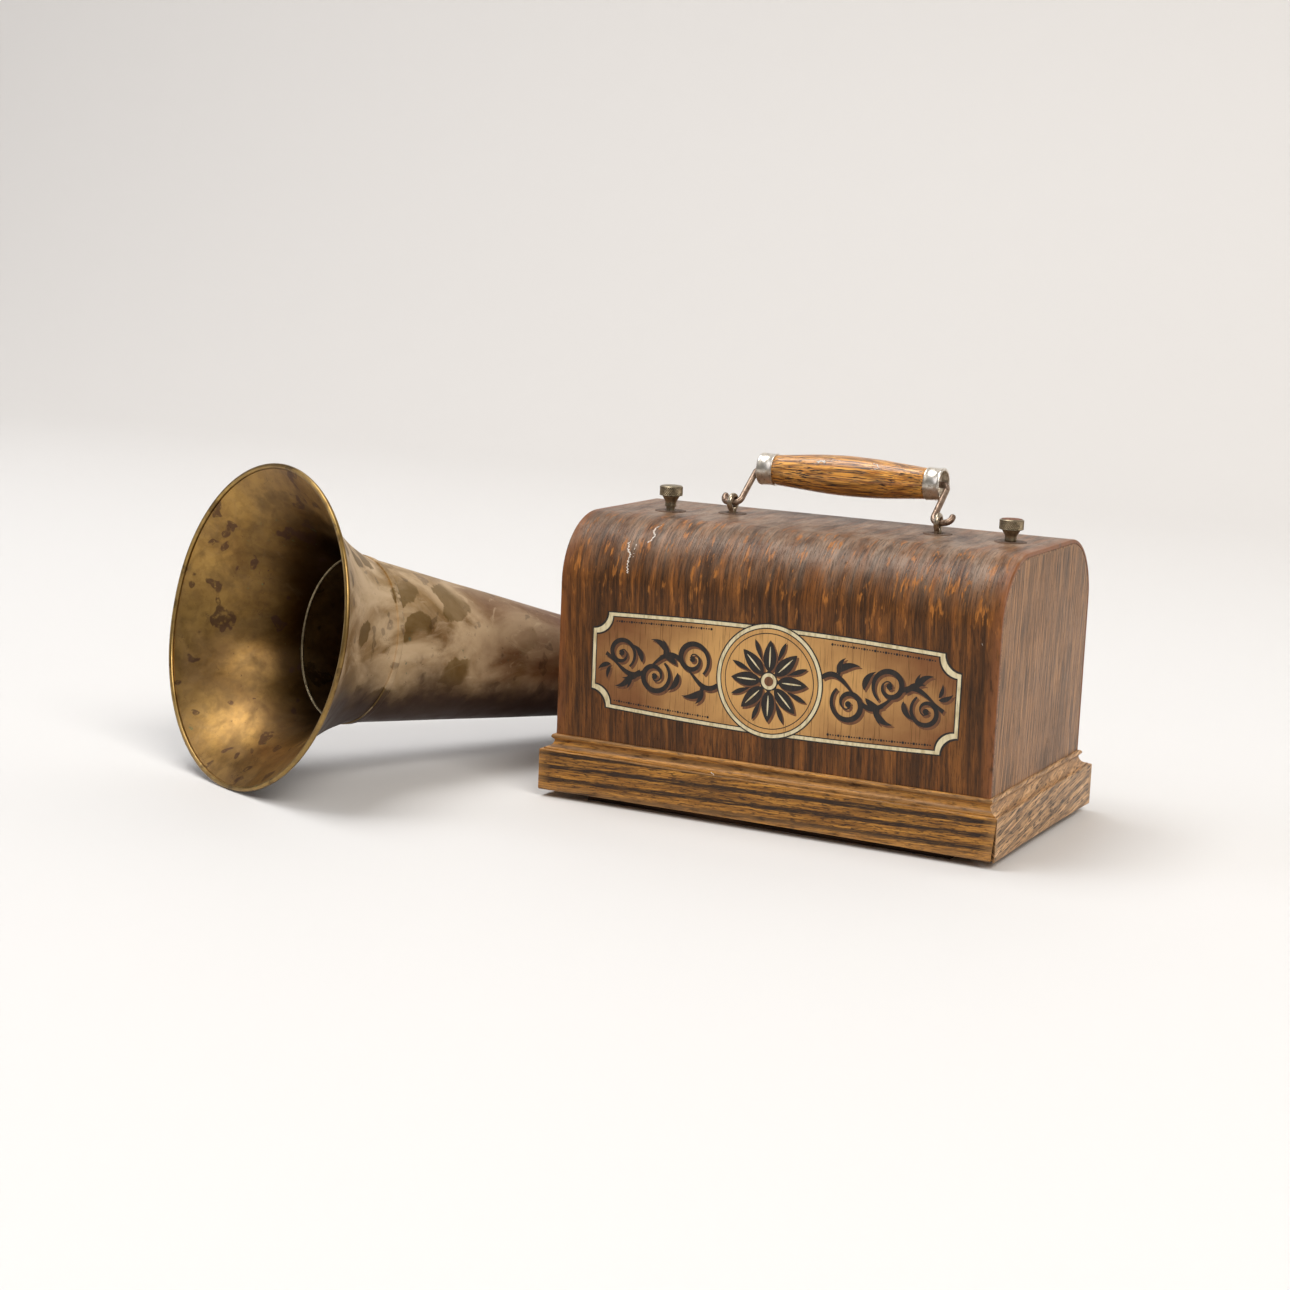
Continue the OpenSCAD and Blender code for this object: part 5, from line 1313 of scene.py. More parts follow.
@dataclass
class CoverScrew:
    """A screw that holds the cover down: shank, flared foot, neck and a domed, diamond-knurled head."""

    name: str
    node: str
    place: Triple
    spot: bool
    head_r: float = 6.5
    head_h: float = 6.0
    neck_h: float = 6.0
    shank_r: float = 2.55
    shank_l: float = 20.0
    ridges: int = 34
    knurl: float = 0.42
    knurl_lead: float = 1.35

    def build(self) -> None:
        """Builds and seats the screw."""
        r, base, shank, end = self.head_r, self.neck_h, self.shank_r, -self.shank_l
        low = [(TIP_R, end), (shank - 0.5, end), (shank, end + 0.6)]
        low += [(shank - 0.25 * (k % 2), end + 1.2 + 0.45 * k) for k in range(36)]
        low += [(shank, -0.05), (3.2, 0.0), (3.3, 0.3), (3.2, 0.8), (3.15, 2.4), (3.3, 3.0), (3.9, 4.0),
                (4.5, 5.0), (4.8, 5.7), (r - 0.7, base), (r - 0.25, base + 0.12)]
        band = [(r, base + 0.3 + (self.head_h - 1.25) * k / 22) for k in range(23)]
        dome = [(r - 0.25, base + self.head_h - 0.75), (r - 0.7, base + self.head_h - 0.5)]
        dome += [((r - 0.7) * math.cos(t), base + self.head_h - 0.5 + 0.5 * math.sin(t))
                 for t in [k * math.pi / 2 / 9 for k in range(1, 9)]]
        dome += [(TIP_R, base + self.head_h)]
        low_z, high_z = base + 0.32, base + self.head_h - 0.97

        def knurled(radius: float, height: float, angle: float) -> float:
            """Cuts crossed grooves into the band of the head.

            Args:
                radius: A point's radius.
                height: Its height.
                angle: Its angle round the screw.

            Returns:
                The radius that it has now.
            """
            if not low_z < height < high_z or radius < r - 0.1:
                return radius
            turn = self.ridges * angle / (2 * math.pi)
            climb = height / self.knurl_lead
            first = abs(((turn + climb) % 1) * 2 - 1)
            second = abs(((turn - climb) % 1) * 2 - 1)
            away = min(1 - first, 1 - second)
            return radius - self.knurl * (1 - away * 1.4 if away < 0.71 else 0.0)

        skin = Skin()
        spot_from = len(low) + len(band) + 2
        lathe(skin, low + band + dome, 272, warp=knurled, mark=lambda i, j: int(self.spot and i > spot_from))
        piece = skin.build(self.name, [SCREW_BRASS, RUST_SPOT], 50, Matrix.Translation(self.place))
        seat(piece, self.node.replace("cover_", ""), "screw_brass", self.node)


@dataclass
class Plinth:
    """Four moulded oak boards mitred at the corners, a little lifted by the board under them."""

    half_l: float = 133.5
    half_d: float = 78.75
    foot_z: float = 4.0
    face_h: float = 23.1
    mould_h: float = 8.1
    thick: float = 16.0
    step: float = 1.8
    cove_r: float = 4.4
    bead_r: float = 1.5
    open_mitre: float = 1.6
    bow: float = 0.7

    def section(self) -> list[Pair]:
        """Draws the board's section.

        Returns:
            Points of (outwards from its inner face, upwards from its foot).
        """
        out, top = self.thick, self.face_h + self.mould_h
        cove = (out - self.step, self.face_h + 0.6 + self.cove_r)
        points = [(0.0, 0.0)]
        points += [(out * k / 4, 0.0) for k in range(1, 4)]
        points += arc((out - 0.8, 0.8), 0.8, -90, 0, 4)
        points += [(out, 6.0), (out, 12.0), (out, 18.0)]
        points += arc((out - 0.7, self.face_h - 0.7), 0.7, 0, 90, 4)
        points += [(out - self.step, self.face_h), (out - self.step, self.face_h + 0.55)]
        points += arc(cove, self.cove_r, 268, 182, 12)
        bead = (out - self.step - self.cove_r, top - self.bead_r)
        points += arc(bead, self.bead_r, -10, 90, 8)
        points += [(0.0, top)]
        return points

    def board(self, name: str, node: str, turn_deg: float, half_run: float, half_across: float,
              finish: Finish, slot: str, open_right: bool, offset: float) -> None:
        """Runs one board along X with its face to the front, then turns it to its side of the case.

        Args:
            name: Name of the piece.
            node: The solid that it replaces.
            turn_deg: Turn about the case's upright axis.
            half_run: Half its length at its face.
            half_across: Distance of its face from the centre.
            finish: Its finish.
            slot: The record's material slot.
            open_right: True where its right mitre has opened at the foot.
            offset: Shift of the grain, so that no two boards are cut from one place.
        """
        section = self.section()
        stations = [k / 36 for k in range(37)]
        rows, wear_and_sheen_rows = [], []
        for share in stations:
            row, worn = [], []
            for o, z in section:
                depth = self.thick - o
                left, right = -half_run + depth, half_run - depth
                if open_right:
                    right -= self.open_mitre * math.sqrt(2) * max(0.0, 1 - z / (self.face_h + 2))
                x = left + (right - left) * share
                bow = self.bow * (1 - (x / half_run) ** 2) * max(0.0, 1 - z / 6)
                row.append(Vector((x, -(half_across - self.thick + o), self.foot_z + z + bow)))
                edge = min(share, 1 - share) < 0.012
                # Rubbed lighter: the ends and the foot's arris as wear, and everything from the face's top
                # up, the whole moulding, as a painted sheen.
                rubbed_and_sheen = z > self.face_h - 0.5 or edge or (o > self.thick - 1.0 and z < 1.0)
                worn.append(0.55 if rubbed_and_sheen else 0.0)
            rows.append(row)
            wear_and_sheen_rows.append(worn)
        run, walk = 0.0, [0.0]
        for a, b in zip(section, section[1:] + section[:1]):
            run += math.dist(a, b)
            walk.append(run * MM)
        vs = [(-half_run + 2 * half_run * share) * MM + offset for share in stations]
        skin = Skin()
        ids = skin.grid(rows, walk, vs, close_u=True, wear=lambda i, j: wear_and_sheen_rows[i][j])
        for k, uv in enumerate(skin.corners):
            skin.corners[k] = [(v, u) for u, v in uv]
        skin.cap(ids[0][::-1], 1, 2)
        skin.cap(ids[-1], 1, 2)
        matrix = Matrix.Rotation(math.radians(turn_deg), 4, "Z")
        seat(skin.build(name, [finish], 32, matrix), "base", slot, node)

    def build(self) -> None:
        """Builds and seats the four boards."""
        long_way = (self.half_l, self.half_d, PLINTH_FRONT, "oak_plinth")
        short_way = (self.half_d, self.half_l, PLINTH_SIDE, "oak_plinth_side")
        for name, node, turn_deg, way, open_right, offset in (
                ("plinth_board_front", "plinth_front", 0, long_way, True, 0.31),
                ("plinth_board_back", "plinth_back", 180, long_way, False, 1.7),
                ("plinth_board_left", "plinth_left", -90, short_way, False, 2.9),
                ("plinth_board_right", "plinth_right", 90, short_way, False, 4.2)):
            self.board(name, node, turn_deg, *way, open_right, offset)


@dataclass
class Horn:
    """The loose horn: a spun bell with a rolled rim, soldered to a long cone of sheet brass."""

    rim_r: float = 89.2
    seam_r: float = 46.9
    bell_l: float = 61.8
    cone_l: float = 350.0
    end_r: float = 7.5
    end_l: float = 20.0
    sheet: float = 0.9
    bead: float = 1.5
    lap: float = 4.0
    start_deg: float = 17.0
    power: float = 2.3
    segments: int = 200
    dent_count: int = 26
    dents: list[tuple[float, float, float, float]] = field(default_factory=list)

    def __post_init__(self) -> None:
        """Scatters shallow dents of angle, distance, size and depth over bell and cone."""
        chance = random.Random(11)
        for _ in range(self.dent_count):
            self.dents.append((chance.uniform(0, 2 * math.pi), chance.uniform(4, 300), chance.uniform(5, 16),
                               chance.uniform(0.1, 0.38)))

    @property
    def laid(self) -> Matrix:
        """Lays the horn, made along Z from its rim, on the floor.

        Returns:
            The placing, in millimetres.
        """
        drop, length = self.rim_r - self.end_r - self.sheet, self.bell_l + self.cone_l + self.end_l
        tilt = math.atan(drop / length) + math.asin(self.bead / math.hypot(drop, length))
        height = self.rim_r * math.cos(tilt) + self.bead
        return (Matrix.Translation((*HORN_PLACE, height))
                @ Matrix.Rotation(math.radians(-HORN_TURN_DEG), 4, "Z")
                @ Matrix.Rotation(-math.pi / 2 - tilt, 4, "X"))

    def bell_radius(self, s: float) -> float:
        """Gives the bell's inside radius.

        Args:
            s: Distance from its rim.

        Returns:
            The radius there.
        """
        w = 1 - s / self.bell_l
        slope = math.tan(math.radians(self.start_deg)) * self.bell_l
        return self.seam_r + slope * w + (self.rim_r - self.seam_r - slope) * w ** self.power

    def warp(self, radius: float, s: float, angle: float) -> float:
        """Moves a point of the sheet inwards where the horn is dented or out of round.

        Args:
            radius: The point's radius.
            s: Its distance from the rim.
            angle: Its angle round the horn.

        Returns:
            The radius that it has now.
        """
        if radius < self.end_r * 1.6:
            return radius
        fade = max(0.0, 1 - s / 90)
        flat = math.exp(-((angle - math.pi) / 0.32) ** 2)
        bottom = math.exp(-((angle - math.pi / 2) / 0.5) ** 2)
        out = radius - 0.9 * flat * fade
        for at, where, size, depth in self.dents:
            turn = (angle - at + math.pi) % (2 * math.pi) - math.pi
            far = (turn * radius / size) ** 2 + ((s - where) / size) ** 2
            if far < 9:
                out -= depth * math.exp(-far) * (1 - bottom)
        ripple = noise.noise((math.cos(angle) * 2.2, math.sin(angle) * 2.2, s / 45))
        return out - 0.12 * (1 + ripple) * min(1.0, s / 20 + 0.2)

    def build(self) -> None:
        """Builds and seats bell, rim, cone and the solder at the seam."""
        steps = 64
        stations = [self.bell_l * i / steps for i in range(steps + 1)]
        inside = [(self.bell_radius(s), s) for s in stations]
        outside = [(r + self.sheet, s) for r, s in reversed(inside)]
        bell = Skin()
        lathe(bell, inside + outside, self.segments, True, self.warp, lambda i, j: 0 if i < steps else 1)
        seat(bell.build("spun_bell", [BELL_INSIDE, HORN_OUTSIDE], 60, self.laid),
             "horn", "horn_brass", "horn_bell")

        rim = Skin()
        lathe(rim, arc((self.rim_r, 0), self.bead, 0, 360, 20)[:-1], self.segments, True, self.warp)
        seat(rim.build("rolled_rim", [RIM_BRASS], 60, self.laid), "horn", "horn_rim_brass", "horn_rim")

        cone = Skin()
        end = self.bell_l + self.cone_l
        inner = [(self.seam_r + (self.end_r - self.seam_r) * k / 60, self.bell_l + self.cone_l * k / 60)
                 for k in range(61)]
        inner.append((self.end_r, end + self.end_l))
        taper = (self.seam_r - self.end_r) / self.cone_l
        outer = [(self.end_r + self.sheet, end + self.end_l), (self.end_r + self.sheet, end)]
        outer += [(r + self.sheet, s) for r, s in reversed(inner[:60]) if s > self.bell_l + self.lap + 0.5]
        edge = self.bell_l + self.lap
        lap_r = self.seam_r + self.sheet - taper * self.lap
        outer += [(lap_r, edge + 0.2), (lap_r + self.sheet * 0.8, edge), (lap_r + self.sheet, edge - 0.4),
                  (self.seam_r + 1.95 * self.sheet, self.bell_l + 0.3),
                  (self.seam_r + self.sheet, self.bell_l)]
        count = len(inner)
        lathe(cone, inner + outer, self.segments, True, self.warp, lambda i, j: 0 if i < count - 1 else 1)
        seat(cone.build("rolled_cone", [THROAT_INSIDE, HORN_OUTSIDE], 60, self.laid),
             "horn", "horn_outer", "horn_cone")

        solder = Skin()
        bead = [(self.seam_r + 0.25 - 0.75 * math.sin(math.pi * k / 8), self.bell_l - 1.1 + 2.2 * k / 8)
                for k in range(9)]
        bead += [(self.seam_r + 0.4, self.bell_l + 1.1), (self.seam_r + 0.4, self.bell_l - 1.1)]
        lathe(solder, bead, self.segments, True, self.warp)
        seat(solder.build("solder_seam", [SOLDER], 60, self.laid), "horn", "horn_outer")


@dataclass
class Transfer:
    """A generic gilt panel on the cover's front: notched corners, a rosette in a medallion and leafy scrolls.

    Every layer is a thin printed sheet, a few hundredths of a millimetre over the last.
    """

    centre: Pair = (1.0, 80.5)
    half_w: float = 107.0
    half_h: float = 26.5
    notch: float = 9.0
    arch: float = 3.0
    medal_r: float = 31.0
    face_y: float = -72.15
    layer_t: float = 0.035
    lift: float = 0.02
    layers: int = 0

    def lay(self, name: str, strokes: Sequence[Sequence[Sequence[Pair]]], ink: Finish) -> None:
        """Prints filled outlines as the next layer.

        Args:
            name: Name of the piece.
            strokes: Groups of closed outlines of (x, z) from the panel's centre, each a hair over the last.
            ink: The finish.
        """
        self.layers += 1
        y = self.face_y - self.lift - self.layer_t * self.layers
        work = bmesh.new()
        for k, outlines in enumerate(strokes):
            level = y - self.lift * k / len(strokes)
            for outline in outlines:
                points = [Vector((self.centre[0] + x, level, self.centre[1] + z)) * MM for x, z in outline]
                work.faces.new([work.verts.new(point) for point in points])
        bmesh.ops.triangulate(work, faces=work.faces)
        bmesh.ops.recalc_face_normals(work, faces=work.faces)
        for item in work.faces:
            if item.normal.y > 0:
                item.normal_flip()
        mesh = bpy.data.meshes.new(name)
        work.to_mesh(mesh)
        work.free()
        mesh.materials.append(ink.material())
        seat(put(name, mesh), "cover", "oak_cover")

    def panel_outline(self, inset: float) -> list[Pair]:
        """Walks round the panel with its hollow corners.

        Args:
            inset: How far inside the panel's edge it runs.

        Returns:
            The outline.
        """
        w, h, r = self.half_w - inset, self.half_h - inset, self.notch
        out: list[Pair] = []
        corners = ((1, 1, 270, 180), (-1, 1, 360, 270), (-1, -1, 90, 0), (1, -1, 180, 90))
        reach = r + inset * 0.35
        for sx, sz, start, end in corners:
            for x, z in arc((sx * w, sz * h), reach, start, end, 14):
                out.append((x, z + math.copysign(self.arch, sz) * math.cos(math.pi * x / (2 * self.half_w))))
            if sx * sz > 0:
                step = [-(w - reach) + 2 * (w - reach) * k / 40 for k in range(1, 40)]
                for x in (reversed(step) if sz > 0 else step):
                    out.append((x, sz * h + sz * self.arch * math.cos(math.pi * x / (2 * self.half_w))))
        return out

    def disc(self, radius: float, lobes: int = 0, depth: float = 0.0) -> list[Pair]:
        """Walks round a disc or a lobed disc.

        Args:
            radius: Its radius.
            lobes: Number of lobes.
            depth: How far the hollows between them go in.

        Returns:
            The outline.
        """
        out = []
        for k in range(144):
            angle = 2 * math.pi * k / 144
            r = radius - depth * (1 - abs(math.cos(lobes * angle / 2))) if lobes else radius
            out.append((r * math.cos(angle), r * math.sin(angle)))
        return out

    def stroke(self, path: Sequence[Pair], widths: Sequence[float], shift: Pair = (0, 0)) -> list[list[Pair]]:
        """Draws a pen stroke that swells and thins.

        Args:
            path: Its centre line.
            widths: Its width at each point.
            shift: Moves the whole stroke.

        Returns:
            Its quads.
        """
        left, right = [], []
        for i, (x, z) in enumerate(path):
            ax, az = path[max(i - 1, 0)]
            bx, bz = path[min(i + 1, len(path) - 1)]
            length = math.hypot(bx - ax, bz - az) or 1.0
            nx, nz = -(bz - az) / length, (bx - ax) / length
            half = max(widths[i], 0.06) / 2
            left.append((x + nx * half + shift[0], z + nz * half + shift[1]))
            right.append((x - nx * half + shift[0], z - nz * half + shift[1]))
        return [[left[i], left[i + 1], right[i + 1], right[i]] for i in range(len(path) - 1)]

    def scrolls(self) -> list[tuple[list[Pair], list[float]]]:
        """Draws one wing's scrollwork: a running stem with three curls and pointed leaves.

        Returns:
            Strokes of path and widths, for the right wing.
        """
        strokes = []

        def curl(cx: float, cz: float, size: float, turns: float, start: float, hand: int,
                 thick: float) -> None:
            """Adds a spiral that thickens in its middle.

            Args:
                cx: Place of its eye across the panel.
                cz: Its height.
                size: Its radius.
                turns: How often it goes round.
                start: Angle of its outer end.
                hand: 1 or -1, the way that it winds.
                thick: Its greatest width.
            """
            count = int(70 * turns)
            path, widths = [], []
            for k in range(count + 1):
                t = k / count
                r = size * (1 - t) ** 0.8 + 1.3
                angle = start + hand * turns * 2 * math.pi * t
                path.append((cx + r * math.cos(angle), cz + r * math.sin(angle)))
                widths.append(thick * (0.25 + 0.75 * math.sin(math.pi * min(1, t * 1.15 + 0.06)) ** 0.8))
            strokes.append((path, widths))
            strokes.append(([(cx + 0.9 * math.cos(a), cz + 0.9 * math.sin(a)) for a in
                             [k * math.pi / 5 for k in range(11)]], [1.7] * 11))

        def leaf(x: float, z: float, length: float, heading: float, bend: float, thick: float) -> None:
            """Adds a pointed leaf.

            Args:
                x: Place of its foot across the panel.
                z: The foot's height.
                length: Its length.
                heading: The way that it points, in radians.
                bend: How far it curls.
                thick: Its greatest width.
            """
            path, widths = [], []
            for k in range(17):
                t = k / 16
                angle = heading + bend * (t - 0.3)
                path.append((x, z))
                widths.append(thick * math.sin(math.pi * t ** 0.75) ** 1.1)
                x, z = x + length / 16 * math.cos(angle), z + length / 16 * math.sin(angle)
            strokes.append((path, widths))

        stem = [(30 + 68 * t, 8.5 * math.sin(2 * math.pi * (t * 1.5 + 0.12)) * (1 - 0.35 * t)) for t in
                [k / 90 for k in range(91)]]
        strokes.append((stem, [1.1 + 1.7 * abs(math.sin(3 * math.pi * k / 90 + 0.8)) for k in range(91)]))
        curl(45.5, -6.5, 8.8, 1.5, 2.3, 1, 3.0)
        curl(68.0, 5.6, 8.4, 1.5, -2.2, -1, 3.0)
        curl(88.5, -5.0, 7.4, 1.4, 2.2, 1, 2.6)
        for x, z, length, heading, bend, thick in (
                (38, 9, 15, 0.55, -1.1, 3.6), (40, 8, 11, 1.5, -1.4, 3.0), (54, 2, 13, 1.25, -1.3, 3.4),
                (55, -2, 12, -0.55, 1.2, 3.4), (60, -6, 15, -0.9, 1.5, 3.6), (63, -5, 11, -1.7, 1.3, 2.8),
                (76, -1, 12, -1.2, 1.3, 3.2), (77, 3, 13, 0.7, -1.3, 3.2), (83, 6, 13, 0.95, -1.5, 3.2),
                (84, 5, 10, 1.7, -1.2, 2.6), (95, 2, 9, 0.3, 0.9, 2.6), (95, 3, 8, 1.2, 0.8, 2.2)):
            leaf(x, z, length, heading, bend, thick)
        return strokes

    def build(self) -> None:
        """Prints the transfer from its ground up."""
        panels = [(0.0, INK_BLACK), (0.7, INK_CREAM), (2.5, INK_BLACK), (3.1, GOLD)]
        for k, (inset, ink) in enumerate(panels):
            self.lay(f"transfer_panel_{k + 1}", [[self.panel_outline(inset)]], ink)
        shade, line = [], []
        for path, widths in self.scrolls():
            for side in (1, -1):
                flipped = [(side * x, side * z) for x, z in path]
                shade.append(self.stroke(flipped, [w + 0.3 for w in widths], (1.1, -1.0)))
                line.append(self.stroke(flipped, widths))
        self.lay("transfer_scroll_shadows", shade, INK_BROWN)
        self.lay("transfer_scrolls", line, INK_BLACK)
        beads = []
        for side in (1, -1):
            for k in range(39):
                x = side * (35 + 1.5 * k)
                z = -(self.half_h - 5.2) - self.arch * math.cos(math.pi * x / (2 * self.half_w))
                size = 0.42 if k % 4 else 0.7
                for sz in (1, -1):
                    beads.append([(x + size * math.cos(a), sz * z + size * math.sin(a)) for a in
                                  [m * math.pi / 5 for m in range(10)]])
        self.lay("transfer_beads", [beads], INK_BLACK)
        rings = [(self.medal_r, INK_BLACK), (self.medal_r - 0.7, INK_CREAM), (self.medal_r - 2.5, INK_BLACK),
                 (self.medal_r - 3.1, GOLD), (self.medal_r - 5.2, INK_BLACK), (self.medal_r - 5.7, GOLD)]
        for k, (radius, ink) in enumerate(rings):
            self.lay(f"transfer_medallion_{k + 1}", [[self.disc(radius)]], ink)
        petals, petal_shadows, veins = [], [], []
        for k in range(8):
            angle = k * math.pi / 4
            path = [(t * math.cos(angle), t * math.sin(angle)) for t in [5 + 17 * m / 20 for m in range(21)]]
            widths = [7.6 * math.sin(math.pi * (m / 20) ** 0.8) ** 0.8 for m in range(21)]
            petals.append(self.stroke(path, widths))
            petal_shadows.append(self.stroke(path, [w + 0.4 for w in widths], (1.1, -1.0)))
            veins.append(self.stroke(path[3:17], [0.9 * math.sin(math.pi * (m + 1) / 15) for m in range(14)]))
            between = angle + math.pi / 8
            reach = [11 + 12.5 * m / 12 for m in range(13)]
            path = [(t * math.cos(between), t * math.sin(between)) for t in reach]
            widths = [2.6 * math.sin(math.pi * (m / 12) ** 1.3) ** 0.9 for m in range(13)]
            petals.append(self.stroke(path, widths))
            petal_shadows.append(self.stroke(path, [w + 0.3 for w in widths], (0.8, -0.7)))
        self.lay("transfer_rosette_shadow", petal_shadows, INK_BROWN)
        self.lay("transfer_rosette", petals, INK_BLACK)
        self.lay("transfer_rosette_veins", veins, INK_CREAM)
        self.lay("transfer_rosette_boss_1", [[self.disc(5.6, 8, 0.7)]], INK_BLACK)
        self.lay("transfer_rosette_boss_2", [[self.disc(4.4)]], INK_CREAM)
        self.lay("transfer_rosette_boss_3", [[self.disc(2.6)]], INK_BROWN)


@dataclass
class Scrapes:
    """White scrapes: thin crusts of bruised varnish on the front bend, the plinth's moulding and the grip."""

    shape: CoverShape = field(default_factory=CoverShape)
    cover_marks: tuple[tuple[float, float, tuple[Pair, ...]], ...] = (
        (1.4, 0.08, ((-77.5, 127.3), (-79.7, 124.8), (-79.4, 120.9), (-77.2, 118.2), (-77.9, 115.1),
                     (-79.3, 112.7))),
        (1.8, 0.22, ((-89.1, 113.8), (-90.6, 111.4), (-89.3, 106.4), (-87.3, 104.7), (-87.7, 100.9),
                     (-86.7, 93.9))),
        (1.2, 0.4, ((-84.6, 114.2), (-86.0, 112.0), (-85.2, 103.0))),
        (0.5, 0.5, ((123.2, 45.0), (123.8, 41.0), (123.2, 34.5))),
        (0.4, 0.4, ((117.0, 82.0), (117.3, 78.0))))
    chip: tuple[Pair, ...] = ((-27.4, 28.6), (-26.6, 27.6), (-25.4, 26.7))
    grip_marks: tuple[tuple[float, float, tuple[Pair, ...]], ...] = (
        (1.8, 0.1, ((-18.5, 43), (-15.5, 47), (-12.5, 45))),
        (0.8, 0.35, ((-12.5, 47), (-8, 54), (-3, 50))),
        (1.0, 0.2, ((14.5, 56), (17.5, 52), (19.2, 42), (17.0, 34))),
        (0.6, 0.5, ((20, 58), (26, 60), (32, 52))))

    def crust(self, skin: Skin, points: Sequence[tuple[Vector, Vector]], width: float, gaps: float) -> None:
        """Lays one ragged crust along a path.

        Args:
            skin: The mesh to add to.
            points: Points of the path with the direction that the face looks there.
            width: Its greatest width.
            gaps: Share of its length that has flaked off.
        """
        rows: list[list[Vector]] = []
        for i, (point, out) in enumerate(points):
            before, after = points[max(i - 1, 0)][0], points[min(i + 1, len(points) - 1)][0]
            across = (after - before).normalized().cross(out)
            rough = noise.noise(point * 0.9) * 0.5 + noise.noise(point * 2.7) * 0.4
            taper = min(1.0, 3 * (i + 0.3) / len(points) + 0.3)
            half = width / 2 * max(0.0, 0.75 + rough - gaps * 1.4) * taper
            shift = across * noise.noise(point * 1.6 + Vector((9, 0, 0))) * width * 0.5
            if half < width * 0.08:
                self.close(skin, rows)
                rows = []
                continue
            rows.append([point + shift - across * half - out * 0.03, point + shift + out * 0.05,
                         point + shift + across * half - out * 0.03])
        self.close(skin, rows)

    def close(self, skin: Skin, rows: list[list[Vector]]) -> None:
        """Adds one unbroken stretch of crust to the mesh, where it is long enough to be seen.

        Args:
            skin: The mesh to add to.
            rows: Its cross sections.
        """
        if len(rows) > 2:
            lengths = [k * MM for k in range(len(rows))]
            skin.grid(rows, [0.0, 0.0005, 0.001], lengths)

    def build(self) -> None:
        """Builds and seats the scrapes."""
        cover = Skin()
        for width, gaps, marks in self.cover_marks:
            path = smooth_path([Vector((x, walk, 0)) for x, walk in marks], 0.25)
            placed = [(self.shape.at(p.y)[0] + Vector((p.x, 0, 0)), self.shape.at(p.y)[1]) for p in path]
            self.crust(cover, placed, width, gaps)
        seat(cover.build("cover_scrapes", [SCRAPE]), "cover", "oak_cover")
        plinth = Skin()
        path = smooth_path([Vector((x, -78.7 + 0.4 * k, z)) for k, (x, z) in enumerate(self.chip)][::-1], 0.2)
        self.crust(plinth, [(p, Vector((0, -0.8, 0.6))) for p in path], 0.9, 0.0)
        seat(plinth.build("moulding_chip", [SCRAPE]), "base", "oak_plinth")
        handle = Handle()
        centre = handle.lean @ Vector((0, 0, handle.arm))
        grip = Skin()
        for width, gaps, marks in self.grip_marks:
            path = smooth_path([Vector((x, angle / 5, 0)) for x, angle in marks], 0.25)
            placed = []
            for p in path:
                angle = math.radians(p.y * 5)
                out = Vector((0, -math.cos(angle), math.sin(angle)))
                placed.append((centre + Vector((p.x, 0, 0)) + out * (handle.radius_at(p.x) - 0.12), out))
            self.crust(grip, placed, width, gaps)
        seat(grip.build("grip_scrapes", [SCRAPE]), "grip", "grip_wood")


@dataclass
class Works:
    """The pieces that keep the shape of their solids and only take a finish: boards, motor, playing gear."""

    finishes: dict[str, Finish] = field(default_factory=lambda: {
        "base_board": BOTTOM_WOOD, "deck_board": INNER_WOOD, "corner_blocks": INNER_WOOD, "bedplate": IRON,
        "bedplate_screws": STEEL, "cover_posts": PLATE_BRASS, "mandrel_standard": IRON,
        "right_standard": IRON, "bearing_bushes": PLATE_BRASS, "guide_rod": STEEL,
        "motor_plate_left": PLATE_BRASS, "motor_plate_centre": PLATE_BRASS,
        "motor_plate_right": PLATE_BRASS, "motor_pillars": WHEEL_BRASS,
        "drive_belt": LEATHER, "mandrel": NICKEL, "mandrel_shaft": STEEL, "mandrel_pulley": PLATE_BRASS,
        "mandrel_gear": WHEEL_BRASS, "feed_screw": STEEL, "feed_gear": WHEEL_BRASS, "second_arbor": STEEL,
        "second_wheel": WHEEL_BRASS, "drive_arbor": STEEL, "third_wheel": WHEEL_BRASS,
        "drive_pulley": PLATE_BRASS, "spring_drum": PLATE_BRASS, "great_wheel": WHEEL_BRASS,
        "mainspring": BLUED, "governor_spindle": STEEL, "governor_weights": WHEEL_BRASS,
        "winding_arbor": STEEL, "ratchet_wheel": STEEL, "winding_key": NICKEL, "click": STEEL,
        "brake_lever": PLATE_BRASS, "speed_screw": SCREW_BRASS, "carriage_sleeve": NICKEL,
        "carriage_arm": IRON, "reproducer": NICKEL, "diaphragm": MICA, "stylus_lever": WHEEL_BRASS})

    def build(self) -> None:
        """Gives each solid its finish."""
        for name, finish in self.finishes.items():
            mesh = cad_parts[name].data
            mesh.materials.clear()
            mesh.materials.append(finish.material())
            LOG.info("%s keeps its solid in %s", name, finish.name)


